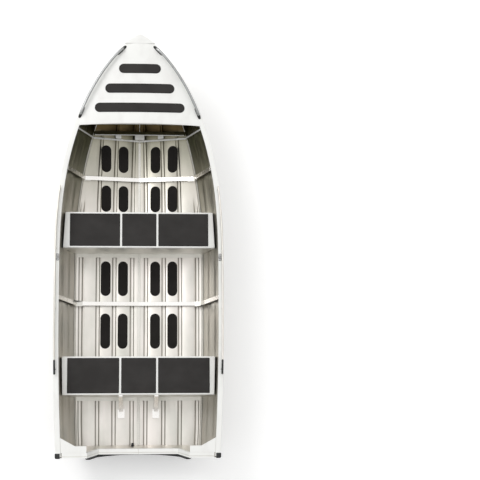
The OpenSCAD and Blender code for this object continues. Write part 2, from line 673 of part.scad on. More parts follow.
color([0.15, 0.15, 0.15]) seat_pads(aft_seat_y);  // aft_seat_pads
port() seat_stay();  // seat_stay_port
seat_stay();  // seat_stay_starboard
floor_pads();
port() bow_rail();  // bow_rail_port
bow_rail();  // bow_rail_starboard
port() bow_rail_feet();  // bow_rail_feet_port
bow_rail_feet();  // bow_rail_feet_starboard
port() side_rail();  // side_rail_port
side_rail();  // side_rail_starboard
port() side_rail_grip();  // side_rail_grip_port
side_rail_grip();  // side_rail_grip_starboard
port() rowlock_socket();  // rowlock_socket_port
rowlock_socket();  // rowlock_socket_starboard
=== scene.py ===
"""Fine shapes and finishes of a pressed aluminium rowing boat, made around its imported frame.

+Y points to the bow, +X to starboard and +Z up, in metres. Each sub-assembly is a class that
holds its sizes, builds its meshes and dresses them, and main() builds them in order.
"""

import logging
import math
from dataclasses import dataclass
from enum import Enum
from typing import Any, Callable, Sequence

import bmesh
import bpy
from mathutils import Matrix, Vector


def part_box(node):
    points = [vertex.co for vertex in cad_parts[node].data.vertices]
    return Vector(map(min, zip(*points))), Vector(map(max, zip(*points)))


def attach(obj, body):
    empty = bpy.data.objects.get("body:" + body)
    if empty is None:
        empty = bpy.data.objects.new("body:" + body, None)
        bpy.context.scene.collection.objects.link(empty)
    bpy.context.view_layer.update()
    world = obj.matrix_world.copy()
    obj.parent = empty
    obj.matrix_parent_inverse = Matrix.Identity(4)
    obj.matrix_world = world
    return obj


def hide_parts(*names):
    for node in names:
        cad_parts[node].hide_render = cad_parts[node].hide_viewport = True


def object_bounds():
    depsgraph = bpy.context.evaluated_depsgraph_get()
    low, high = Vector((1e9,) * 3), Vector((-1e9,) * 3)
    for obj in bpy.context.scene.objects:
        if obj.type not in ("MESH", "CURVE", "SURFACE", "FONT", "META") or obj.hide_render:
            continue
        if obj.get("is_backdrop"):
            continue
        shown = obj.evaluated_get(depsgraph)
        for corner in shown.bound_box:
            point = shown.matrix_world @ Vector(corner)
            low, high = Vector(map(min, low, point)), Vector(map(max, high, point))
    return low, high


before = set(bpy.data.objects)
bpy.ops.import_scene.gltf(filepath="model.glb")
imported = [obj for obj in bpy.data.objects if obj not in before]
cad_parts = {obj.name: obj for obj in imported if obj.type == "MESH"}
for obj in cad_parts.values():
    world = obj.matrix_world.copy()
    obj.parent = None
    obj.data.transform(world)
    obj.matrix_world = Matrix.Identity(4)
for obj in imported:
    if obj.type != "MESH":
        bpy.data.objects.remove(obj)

LOG = logging.getLogger("boat")
BODY = "root"
MM = 0.001
SEAT_GAP = 0.3 * MM  # seat of one piece on the next, as in the frame
MULTIPLY = {"data_type": "RGBA", "blend_type": "MULTIPLY"}

Point = tuple[float, float, float]
Flat = tuple[float, float]
Ring = list[Point]
Place = Callable[[float, float, float], Point]


class Side(Enum):
    """The two halves of the boat, by the sign of X."""

    PORT = -1
    STARBOARD = 1

    @property
    def word(self) -> str:
        """The side's name, as it stands in node names."""
        return self.name.lower()


class Cap(Enum):
    """How the ends of a loft are closed."""

    NGON = "one face over the end ring"
    STRIP = "quads between the two halves of the end ring"
    OPEN = "no face"


# --- numbers ------------------------------------------------------------------------


def clamp(value: float, low: float = 0.0, high: float = 1.0) -> float:
    """Keeps a value between two limits."""
    return max(low, min(high, value))


def lerp(a: float, b: float, t: float) -> float:
    """The value a share t of the way from a to b."""
    return a + (b - a) * t


def spread(low: float, high: float, count: int) -> list[float]:
    """Evenly spaced values from low to high."""
    return [lerp(low, high, i / (count - 1)) for i in range(count)]


def soft_ramp(t: float, blend: float = 0.22) -> float:
    """A ramp from 0 to 1 whose two corners are rounded, as in a pressed fold.

    Args:
        t: Place along the ramp, which runs from 0 to 1.
        blend: Length of the rounding at each corner.

    Returns:
        The height of the ramp.
    """
    if t > 0.5:
        return 1 - soft_ramp(1 - t, blend)
    if t <= -blend:
        return 0.0
    if t >= blend:
        return t
    return (t + blend) ** 2 / (4 * blend)


# --- finishes -----------------------------------------------------------------------


def linear(code: str) -> tuple[float, float, float, float]:
    """Turns an sRGB hex colour to linear values with full alpha.

    Args:
        code: The colour as #RRGGBB.

    Returns:
        Red, green, blue and alpha, from 0 to 1.
    """
    parts = [int(code[i : i + 2], 16) / 255 for i in (1, 3, 5)]
    made = [p / 12.92 if p <= 0.04045 else ((p + 0.055) / 1.055) ** 2.4 for p in parts]
    return (made[0], made[1], made[2], 1.0)


def add_node(
    tree: bpy.types.NodeTree,
    kind: str,
    settings: dict[str | int, Any] | None = None,
    links: dict[str | int, bpy.types.NodeSocket] | None = None,
) -> bpy.types.Node:
    """Adds a node with its settings and links.

    Args:
        tree: The tree that gets the node.
        kind: The node's type, without its ShaderNode prefix.
        settings: Values by property or input; "ramp" holds the stops of a colour ramp.
        links: Sockets to link from, by input.

    Returns:
        The new node.
    """
    node = tree.nodes.new("ShaderNode" + kind)
    for key, value in (settings or {}).items():
        if key == "ramp":
            stops = node.color_ramp.elements
            while len(stops) < len(value):
                stops.new(1.0)
            for stop, (position, colour) in zip(stops, value):
                stop.position = position
                stop.color = linear(colour)
        elif isinstance(key, str) and hasattr(node, key):
            setattr(node, key, value)
        else:
            node.inputs[key].default_value = value
    for key, socket in (links or {}).items():
        tree.links.new(socket, node.inputs[key])
    return node


@dataclass(frozen=True)
class Finish:
    """What every finish has: the material's name, the record's slot, a colour and a roughness."""

    name: str
    slot: str
    colour: str
    roughness: float

    def material(self) -> bpy.types.Material:
        """Makes the material once.

        Returns:
            The material, the same one on each call.
        """
        found = bpy.data.materials.get(self.name)
        if found is not None:
            return found
        made = bpy.data.materials.new(self.name)
        made.use_nodes = True
        shader = made.node_tree.nodes["Principled BSDF"]
        shader.inputs["Base Color"].default_value = linear(self.colour)
        shader.inputs["Roughness"].default_value = self.roughness
        self.dress(made.node_tree, shader)
        return made

    def dress(self, tree: bpy.types.NodeTree, shader: bpy.types.Node) -> None:
        """Adds the finish's own pattern; a plain finish has none."""

    def pattern(
        self, tree: bpy.types.NodeTree, size: Point, detail: float = 3.0
    ) -> bpy.types.NodeSocket:
        """Noise in the boat's own coordinates.

        Args:
            tree: The material's tree.
            size: Real size of one patch along X, Y and Z, in millimetres.
            detail: How many finer layers the noise has.

        Returns:
            The noise's value.
        """
        at = add_node(tree, "TexCoord")
        scale = tuple(1 / (s * MM) for s in size)
        spaced = add_node(tree, "Mapping", {"Scale": scale}, {"Vector": at.outputs["Object"]})
        links = {"Vector": spaced.outputs[0]}
        noise = add_node(tree, "TexNoise", {"Scale": 1.0, "Detail": detail}, links)
        return noise.outputs["Fac"]


@dataclass(frozen=True)
class RolledAluminium(Finish):
    """Mill-finish aluminium sheet, cold rolled and pressed.

    The bare metal gives the eye a pale, slightly warm grey with soft blurred reflections, faint
    streaks along the rolling direction and dull patches where it was handled. Its inside may get
    painted shade: darker towards the bow, darkest and olive under the foredeck, and darker on the
    steep flanks of the pressed strakes. The painted shade is fitted, no paint is known there, and
    it stays in any light.
    """

    peak_shade: tuple[tuple[float, str], ...] = ()  # place along Y in metres, and the painted shade of the inside there
    groove: float = 1.0  # painted shade in the strakes' creases: brightness left on their steep flanks
    dull: str = "#DDDBD3"
    streak_mm: float = 7.0  # real streaks are near 0.5 mm; drawn this coarse so that they show
    streak_run: float = 60.0  # length of a streak, in widths
    patch_mm: float = 260.0
    patch_run: float = 1.6
    roughness_range: float = 0.05
    wave_mm: float = 0.5
    buckle: float = 0.15
    grain: float = 0.12
    grain_mm: float = 0.4

    def dress(self, tree: bpy.types.NodeTree, shader: bpy.types.Node) -> None:
        """Links streaks to roughness and bump, and patches to colour.

        Args:
            tree: The material's tree.
            shader: Its surface shader.
        """
        width, patch = self.streak_mm, self.patch_mm
        streaks = self.pattern(tree, (width, width * self.streak_run, width))
        patches = self.pattern(tree, (patch, patch * self.patch_run, patch), 4.0)
        ramp = [(0.3, self.dull), (0.62, self.colour)]
        tone = add_node(tree, "ValToRGB", {"ramp": ramp}, {"Fac": patches})
        limits = {
            "From Min": 0.3,
            "From Max": 0.7,
            "To Min": self.roughness - self.roughness_range,
            "To Max": self.roughness + self.roughness_range,
        }
        rough = add_node(tree, "MapRange", limits, {"Value": streaks})
        wave = {"Strength": self.buckle, "Distance": self.wave_mm * MM}
        buckle = add_node(tree, "Bump", wave, {"Height": patches})
        fine = {"Strength": self.grain, "Distance": self.grain_mm * MM}
        links = {"Height": streaks, "Normal": buckle.outputs[0]}
        grain = add_node(tree, "Bump", fine, links)
        colour = tone.outputs["Color"]
        # painted shade on the inside: darker towards the bow and on the strakes' steep flanks
        if self.peak_shade:
            colour = self.tinted(tree, colour)
        tree.links.new(colour, shader.inputs["Base Color"])
        tree.links.new(rough.outputs[0], shader.inputs["Roughness"])
        tree.links.new(grain.outputs[0], shader.inputs["Normal"])
        shader.inputs["Metallic"].default_value = 1.0

    def tinted(
        self, tree: bpy.types.NodeTree, colour: bpy.types.NodeSocket
    ) -> bpy.types.NodeSocket:
        """Paints shade on the faces that look up: towards the bow, and on the strakes' steep
        flanks.

        Args:
            tree: The material's tree.
            colour: The metal's own colour.

        Returns:
            The colour with the painted shade.
        """
        at = add_node(tree, "TexCoord")
        place = add_node(tree, "SeparateXYZ", {}, {"Vector": at.outputs["Object"]})
        normal = add_node(tree, "SeparateXYZ", {}, {"Vector": at.outputs["Normal"]})
        # painted shade towards the bow, by place along Y, on faces that look up
        first, last = self.peak_shade[0][0], self.peak_shade[-1][0]
        along = add_node(tree, "MapRange", {"From Min": first, "From Max": last},
                         {"Value": place.outputs["Y"]})
        ramp = [((y - first) / (last - first), tint) for y, tint in self.peak_shade]
        tint = add_node(tree, "ValToRGB", {"ramp": ramp}, {"Fac": along.outputs[0]})
        up = add_node(tree, "MapRange", {"From Min": 0.0, "From Max": 0.05},
                      {"Value": normal.outputs["Z"]})
        links = {"Factor": up.outputs[0], 6: colour, 7: tint.outputs["Color"]}
        bow_shaded = add_node(tree, "Mix", MULTIPLY, links).outputs[2]
        # painted shade in the strakes' creases: steep faces get darker
        steep = add_node(tree, "Math", {"operation": "ABSOLUTE"}, {0: normal.outputs["X"]})
        limits = {"From Min": 0.3, "From Max": 0.6, "To Min": 1.0, "To Max": self.groove}
        flank_shade = add_node(tree, "MapRange", limits, {"Value": steep.outputs[0]})
        links = {"Factor": up.outputs[0], 6: bow_shaded, 7: flank_shade.outputs[0]}
        return add_node(tree, "Mix", MULTIPLY, links).outputs[2]


@dataclass(frozen=True)
class PowderCoat(Finish):
    """Polyester powder coat, baked on aluminium.

    It gives the eye an even colour with a broad soft gloss, a fine orange peel and a trace of
    grime in patches.
    """

    grime: str = "#F1F0ED"
    grime_mm: Point = (110.0, 190.0, 110.0)
    peel_mm: float = 3.0
    peel_depth_mm: float = 0.3

    def dress(self, tree: bpy.types.NodeTree, shader: bpy.types.Node) -> None:
        """Links grime to colour and roughness, and orange peel to bump.

        Args:
            tree: The material's tree.
            shader: Its surface shader.
        """
        patches = self.pattern(tree, self.grime_mm, 5.0)
        ramp = [(0.28, self.grime), (0.52, self.colour)]
        tone = add_node(tree, "ValToRGB", {"ramp": ramp}, {"Fac": patches})
        peel = self.pattern(tree, (self.peel_mm,) * 3, 1.0)
        settings = {"Strength": 0.06, "Distance": self.peel_depth_mm * MM}
        bump = add_node(tree, "Bump", settings, {"Height": peel})
        limits = {"To Min": self.roughness + 0.08, "To Max": self.roughness - 0.05}
        rough = add_node(tree, "MapRange", limits, {"Value": patches})
        tree.links.new(tone.outputs["Color"], shader.inputs["Base Color"])
        tree.links.new(rough.outputs[0], shader.inputs["Roughness"])
        tree.links.new(bump.outputs[0], shader.inputs["Normal"])


@dataclass(frozen=True)
class CellFoam(Finish):
    """Closed-cell EVA foam sheet, knife cut and skinned.

    It gives the eye a flat charcoal with almost no gloss, a fine pebbled grain and faint patches
    from wear. Its bevelled edge and sides carry painted shade: darker where a face does not look
    up.
    """

    worn: str = "#3A3837"
    wear_mm: Point = (160.0, 120.0, 120.0)
    grain_mm: float = 2.4  # real cells are near 0.6 mm; drawn this coarse so that they show
    cut_shade: float = 0.35  # painted shade: brightness left on the bevelled edge and the sides

    def dress(self, tree: bpy.types.NodeTree, shader: bpy.types.Node) -> None:
        """Links wear and grain to colour, and grain to bump.

        Args:
            tree: The material's tree.
            shader: Its surface shader.
        """
        patches = self.pattern(tree, self.wear_mm, 3.0)
        ramp = [(0.35, self.colour), (0.7, self.worn)]
        tone = add_node(tree, "ValToRGB", {"ramp": ramp}, {"Fac": patches})
        grain = self.pattern(tree, (self.grain_mm,) * 3, 2.0)
        shade = add_node(tree, "MapRange", {"To Min": 0.82, "To Max": 1.16}, {"Value": grain})
        mix = {**MULTIPLY, "Factor": 1.0}
        speckle = add_node(tree, "Mix", mix, {6: tone.outputs["Color"], 7: shade.outputs[0]})
        # painted shade: faces that do not look straight up get darker
        facing = add_node(tree, "TexCoord")
        parts = add_node(tree, "SeparateXYZ", {}, {"Vector": facing.outputs["Normal"]})
        limits = {"From Min": 0.5, "From Max": 0.985, "To Min": self.cut_shade, "To Max": 1.0}
        cut = add_node(tree, "MapRange", limits, {"Value": parts.outputs["Z"]})
        edged = add_node(tree, "Mix", mix, {6: speckle.outputs[2], 7: cut.outputs[0]})
        bump = add_node(tree, "Bump", {"Strength": 0.4, "Distance": 0.0005}, {"Height": grain})
        tree.links.new(edged.outputs[2], shader.inputs["Base Color"])
        tree.links.new(bump.outputs[0], shader.inputs["Normal"])
        shader.inputs["Specular IOR Level"].default_value = 0.3


@dataclass(frozen=True)
class MouldedPlastic(Finish):
    """Injection-moulded black plastic or rubber.

    It gives the eye a near black with a dull sheen, a fine spark-eroded grain and greyer
    weathered patches.
    """

    weathered: str = "#333434"
    patch_mm: float = 30.0
    grain_mm: float = 1.6  # spark-eroded grain is near 0.1 mm; drawn this coarse so that it shows

    def dress(self, tree: bpy.types.NodeTree, shader: bpy.types.Node) -> None:
        """Links weathering to colour and the mould's grain to bump.

        Args:
            tree: The material's tree.
            shader: Its surface shader.
        """
        patches = self.pattern(tree, (self.patch_mm,) * 3, 4.0)
        ramp = [(0.4, self.colour), (0.75, self.weathered)]
        tone = add_node(tree, "ValToRGB", {"ramp": ramp}, {"Fac": patches})
        grain = self.pattern(tree, (self.grain_mm,) * 3, 1.0)
        bump = add_node(tree, "Bump", {"Strength": 0.25, "Distance": 0.0003}, {"Height": grain})
        tree.links.new(tone.outputs["Color"], shader.inputs["Base Color"])
        tree.links.new(bump.outputs[0], shader.inputs["Normal"])


@dataclass(frozen=True)
class BrushedMetal(Finish):
    """Stainless steel or weld metal, brushed or left as laid.

    It gives the eye a tight bright highlight broken by short scratches.
    """

    tint: str = "#8E8C88"
    scratch_mm: float = 2.0
    ripple: float = 0.3

    def dress(self, tree: bpy.types.NodeTree, shader: bpy.types.Node) -> None:
        """Links scratches to colour, roughness and bump.

        Args:
            tree: The material's tree.
            shader: Its surface shader.
        """
        width = self.scratch_mm
        scratches = self.pattern(tree, (width * 4, width, width), 3.0)
        ramp = [(0.32, self.tint), (0.6, self.colour)]
        tone = add_node(tree, "ValToRGB", {"ramp": ramp}, {"Fac": scratches})
        limits = {"To Min": self.roughness + 0.12, "To Max": self.roughness - 0.1}
        rough = add_node(tree, "MapRange", limits, {"Value": scratches})
        settings = {"Strength": self.ripple, "Distance": 0.0004}
        bump = add_node(tree, "Bump", settings, {"Height": scratches})
        tree.links.new(tone.outputs["Color"], shader.inputs["Base Color"])
        tree.links.new(rough.outputs[0], shader.inputs["Roughness"])
        tree.links.new(bump.outputs[0], shader.inputs["Normal"])
        shader.inputs["Metallic"].default_value = 1.0


HULL_METAL = RolledAluminium("rolled_aluminium", "hull", "#F2EDE7", 0.4)
# inside of the bottom: painted shade towards the bow, darkest under the foredeck, and on the
# strakes' steep flanks
BOTTOM_METAL = RolledAluminium(
    "rolled_aluminium_bottom", "hull", "#F2EDE7", 0.4,
    peak_shade=((0.3, "#FFFFFF"), (0.6, "#E4E3DE"), (0.98, "#C2C2B6"), (1.06, "#8F8C78"),
          (1.10, "#6E5F42"), (1.3, "#5E5238")), groove=0.62)
# the side plates are the same sheet as the bottom, drawn darker: painted shade on the walls; their
# inside also gets painted shade towards the bow
SHADED_SIDE_METAL = RolledAluminium(
    "rolled_aluminium_sides", "hull", "#CCC8C0", 0.36, dull="#BDBCB6",
    peak_shade=((0.1, "#FFFFFF"), (0.6, "#E4E4DC"), (0.98, "#A2A58F"), (1.06, "#6E6A52"),
          (1.3, "#5E5238")))
FRAME_METAL = RolledAluminium("pressed_aluminium_frames", "hull", "#ECEAE4", 0.42)
BAR_METAL = RolledAluminium("extruded_aluminium_bar", "white", "#FDFBF8", 0.26, dull="#F6F3EE")
RAIL_METAL = RolledAluminium("anodised_aluminium_tube", "white", "#B9BABA", 0.3, dull="#ACADAD")
WHITE_COAT = PowderCoat("white_powder_coat", "white", "#F9F9F6", 0.36)
BLACK_COAT = PowderCoat("black_powder_coat", "transom", "#1B1D19", 0.42, grime="#2A2C26")
FOAM = CellFoam("eva_foam", "foam", "#333130", 0.9)
# the floor pads are the same foam as the seat pads, drawn darker: painted shade of the well
SHADED_FLOOR_FOAM = CellFoam("eva_foam_underfoot", "foam", "#1C1A18", 0.9, worn="#242120")
PLASTIC = MouldedPlastic("moulded_black_rubber", "black_plastic", "#1C1D1D", 0.55)
STEEL = BrushedMetal("brushed_stainless", "steel", "#C3C4C5", 0.3)
WELD = BrushedMetal("aluminium_weld", "hull", "#EFEDE7", 0.5, tint="#D2D0C9", ripple=0.4)


# --- meshes -------------------------------------------------------------------------


class Shape:
    """A mesh in the making: its points and faces, which several solids may share."""

    def __init__(self) -> None:
        """Starts with no points and no faces."""
        self.points: list[Point] = []
        self.faces: list[tuple[int, ...]] = []

    def loft(self, rings: Sequence[Ring], cap: Cap = Cap.NGON) -> "Shape":
        """Adds a solid through closed rings of equal length.

        Args:
            rings: The rings, in order along the solid.
            cap: How the two ends are closed.

        Returns:
            The shape itself, so that calls can be chained.
        """
        base, n = len(self.points), len(rings[0])
        for ring in rings:
            self.points += ring
        for i in range(len(rings) - 1):
            a, b = base + i * n, base + (i + 1) * n
            self.faces += [(a + k, a + (k + 1) % n, b + (k + 1) % n, b + k) for k in range(n)]
        for start in (base, base + (len(rings) - 1) * n):
            if cap is Cap.NGON:
                self.faces.append(tuple(start + k for k in range(n)))
            elif cap is Cap.STRIP:
                half = n // 2
                self.faces += [
                    (start + k, start + k + 1, start + n - 2 - k, start + n - 1 - k)
                    for k in range(half - 1)
                ]
        return self

    def plate(self, skin: Sequence[Ring], back: Sequence[Ring]) -> "Shape":
        """Adds a closed plate between two grids of points of the same size."""
        return self.loft([s + b[::-1] for s, b in zip(skin, back)], Cap.STRIP)

    def tube(self, path: Sequence[Point], radius: Callable[[float], float] | float,
             sides: int = 14) -> "Shape":
        """Adds a round bar along a path.

        Args:
            path: Points of its middle line.
            radius: Its radius, or a function of the share of the way along the path.
            sides: Number of points round it.

        Returns:
            The shape itself.
        """
        line = [Vector(p) for p in path]
        rings = []
        normal = Vector((0, 0, 1))
        for i, point in enumerate(line):
            along = (line[min(i + 1, len(line) - 1)] - line[max(i - 1, 0)]).normalized()
            if i == 0 and abs(along.z) > 0.9:
                normal = Vector((1, 0, 0))
            normal = (normal - along * normal.dot(along)).normalized()
            across = along.cross(normal)
            r = radius(i / (len(line) - 1)) if callable(radius) else radius
            turn = [2 * math.pi * k / sides for k in range(sides)]
            rings.append([tuple(point + r * (math.cos(a) * across + math.sin(a) * normal))
                          for a in turn])
        return self.loft(rings)

    def slab(self, outline: Sequence[Flat], low: float, high: float, edge: float,
             place: Place, rings: int = 0, crown: float = 0.0, run: float = 0.0) -> "Shape":
        """Adds a slab with a rounded top edge over a convex or gently curved outline.

        Args:
            outline: Its outline, drawn flat.
            low: Height of its underside.
            high: Height of its top.
            edge: Radius of its top edge.
            place: Puts a point of the flat drawing and a height where it belongs.
            rings: Rings between the edge and the middle, so that it follows a curved seat.
            crown: How much higher the middle is than the edge.
            run: How far inward the rounding reaches, if further than its radius.

        Returns:
            The shape itself.
        """
        run = max(run, edge)
        middle = (sum(p[0] for p in outline) / len(outline),
                  sum(p[1] for p in outline) / len(outline))
        steps = [(i + 1) / 4 * math.pi / 2 for i in range(4)]
        profile = [(0.0, low, 1.0), (0.0, high - edge, 1.0)]
        profile += [(run * (1 - math.cos(a)), high - edge * (1 - math.sin(a)), 1.0) for a in steps]
        shares = [1 - (i + 1) / (rings + 1) for i in range(rings)]
        profile += [(run, high + crown * (1 - s * s), s) for s in shares]
        profile = [(0.0, low, s) for s in reversed(shares)] + profile
        made = []
        for inward, height, share in profile:
            ring = inset(outline, inward)
            made.append([place(lerp(middle[0], u, share), lerp(middle[1], v, share), height)
                         for u, v in ring])
        return self.loft(made)


def inset(outline: Sequence[Flat], distance: float) -> list[Flat]:
    """Draws an outline in by a distance smaller than its tightest inner radius.

    Args:
        outline: The outline, in order.
        distance: How far in.

    Returns:
        The smaller outline, with as many points.
    """
    if distance == 0:
        return list(outline)
    turn = sum(a[0] * b[1] - b[0] * a[1] for a, b in zip(outline, [*outline[1:], outline[0]]))
    sign = 1 if turn > 0 else -1
    made = []
    for i, at in enumerate(outline):
        before = Vector(outline[i - 1])
        after = Vector(outline[(i + 1) % len(outline)])
        here = Vector(at)
        a, b = (here - before).normalized(), (after - here).normalized()
        across = Vector((-(a + b).y, (a + b).x)).normalized() * sign
        widen = max(0.35, across.dot(Vector((-a.y, a.x)) * sign))
        made.append(tuple(here + across * distance / widen))
    return made


def fillet(corners: Sequence[Flat], radius: float, steps: int = 4) -> list[Flat]:
    """Rounds the corners of an outline.

    Args:
        corners: The corners, in order.
        radius: How far from each corner the rounding starts, at most.
        steps: Number of pieces in each rounding.

    Returns:
        The rounded outline.
    """
    made: list[Flat] = []
    count = len(corners)
    for i, at in enumerate(corners):
        here = Vector(at)
        before, after = Vector(corners[i - 1]) - here, Vector(corners[(i + 1) % count]) - here
        reach = min(radius, before.length * 0.48, after.length * 0.48)
        a, b = here + before.normalized() * reach, here + after.normalized() * reach
        for k in range(steps + 1):
            t = k / steps
            made.append(tuple((1 - t) ** 2 * a + 2 * t * (1 - t) * here + t * t * b))
    return made


def stadium(length: float, width: float, along_x: bool) -> list[Flat]:
    """Outline of a strip with round ends, its long way along X or Y.

    Args:
        length: Length over the round ends.
        width: Width of the strip.
        along_x: Whether its long way is along X.

    Returns:
        The outline, in order.
    """
    r, half = width / 2, (length - width) / 2
    turns = [-math.pi / 2 + math.pi * k / 12 for k in range(13)]
    right = [(half + r * math.cos(a), r * math.sin(a)) for a in turns]
    side = [(half * (1 - 2 * k / 9), r) for k in range(1, 9)]
    outline = right + side
    outline += [(-x, -y) for x, y in outline]
    return outline if along_x else [(-y, x) for x, y in outline]


def flat_place(u: float, v: float, w: float) -> Point:
    """Leaves a flat drawing where it is, with its height as Z."""
    return (u, v, w)


def mirrored(shape: Shape, side: Side) -> Shape:
    """The shape on its own side of the boat, drawn for starboard.

    Args:
        shape: The shape, drawn for starboard.
        side: The side it belongs on.

    Returns:
        The same shape, turned over for port.
    """
    if side is Side.PORT:
        shape.points = [(-x, y, z) for x, y, z in shape.points]
    return shape


def piece(name: str, shape: Shape, finish: Finish, replaces: Sequence[str] = (),
          sharp: float = 38.0, bevel: float = 0.0,
          inner: Finish | None = None) -> bpy.types.Object:
    """Makes a piece of the boat from a shape.

    Args:
        name: The piece's name.
        shape: Its points and faces.
        finish: Its finish.
        replaces: Nodes of the frame that it stands for.
        sharp: Angle in degrees over which an edge stays crisp.
        bevel: Width of a small bevel on its crisp edges.
        inner: Finish of the faces that look forward, if it has another one there.

    Returns:
        The object.
    """
    mesh = bpy.data.meshes.new(name)
    mesh.from_pydata([tuple(p) for p in shape.points], [], shape.faces)
    work = bmesh.new()
    work.from_mesh(mesh)
    bmesh.ops.remove_doubles(work, verts=work.verts, dist=1e-6)
    bmesh.ops.recalc_face_normals(work, faces=work.faces)
    if bevel:
        edges = [e for e in work.edges
                 if len(e.link_faces) == 2 and e.calc_face_angle(0) > math.radians(sharp)]
        bmesh.ops.bevel(work, geom=edges, offset=bevel, segments=2, profile=0.5,
                        affect="EDGES", clamp_overlap=True)
    work.to_mesh(mesh)
    work.free()
    mesh.polygons.foreach_set("use_smooth", [True] * len(mesh.polygons))
    mesh.set_sharp_from_angle(angle=math.radians(sharp))
    mesh.materials.append(finish.material())
    if inner is not None:
        mesh.materials.append(inner.material())
        for face in mesh.polygons:
            face.material_index = int(face.normal.y > 0.5)
    made = bpy.data.objects.new(name, mesh)
    bpy.context.scene.collection.objects.link(made)
    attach(made, BODY)
    if replaces:
        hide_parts(*replaces)
    LOG.info("%s: %d faces, %s", name, len(mesh.polygons), finish.name)
    return made


def dress_node(name: str, finish: Finish, bevel: float = 0.0) -> None:
    """Gives a node of the frame its finish, and rounds its edges.

    Args:
        name: The node, which keeps its own mesh.
        finish: Its finish.
        bevel: Width of a small bevel on its crisp edges, or 0 for none.
    """
    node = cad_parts[name]
    node.data.materials.clear()
    node.data.materials.append(finish.material())
    if bevel:
        weld = node.modifiers.new("weld", "WELD")
        weld.merge_threshold = 1e-5
        edge = node.modifiers.new("edge", "BEVEL")
        edge.width = bevel
        edge.segments = 2
        edge.limit_method = "ANGLE"
        edge.angle_limit = math.radians(35)
    LOG.info("%s: kept, %s", name, finish.name)


# --- the hull's lines ---------------------------------------------------------------


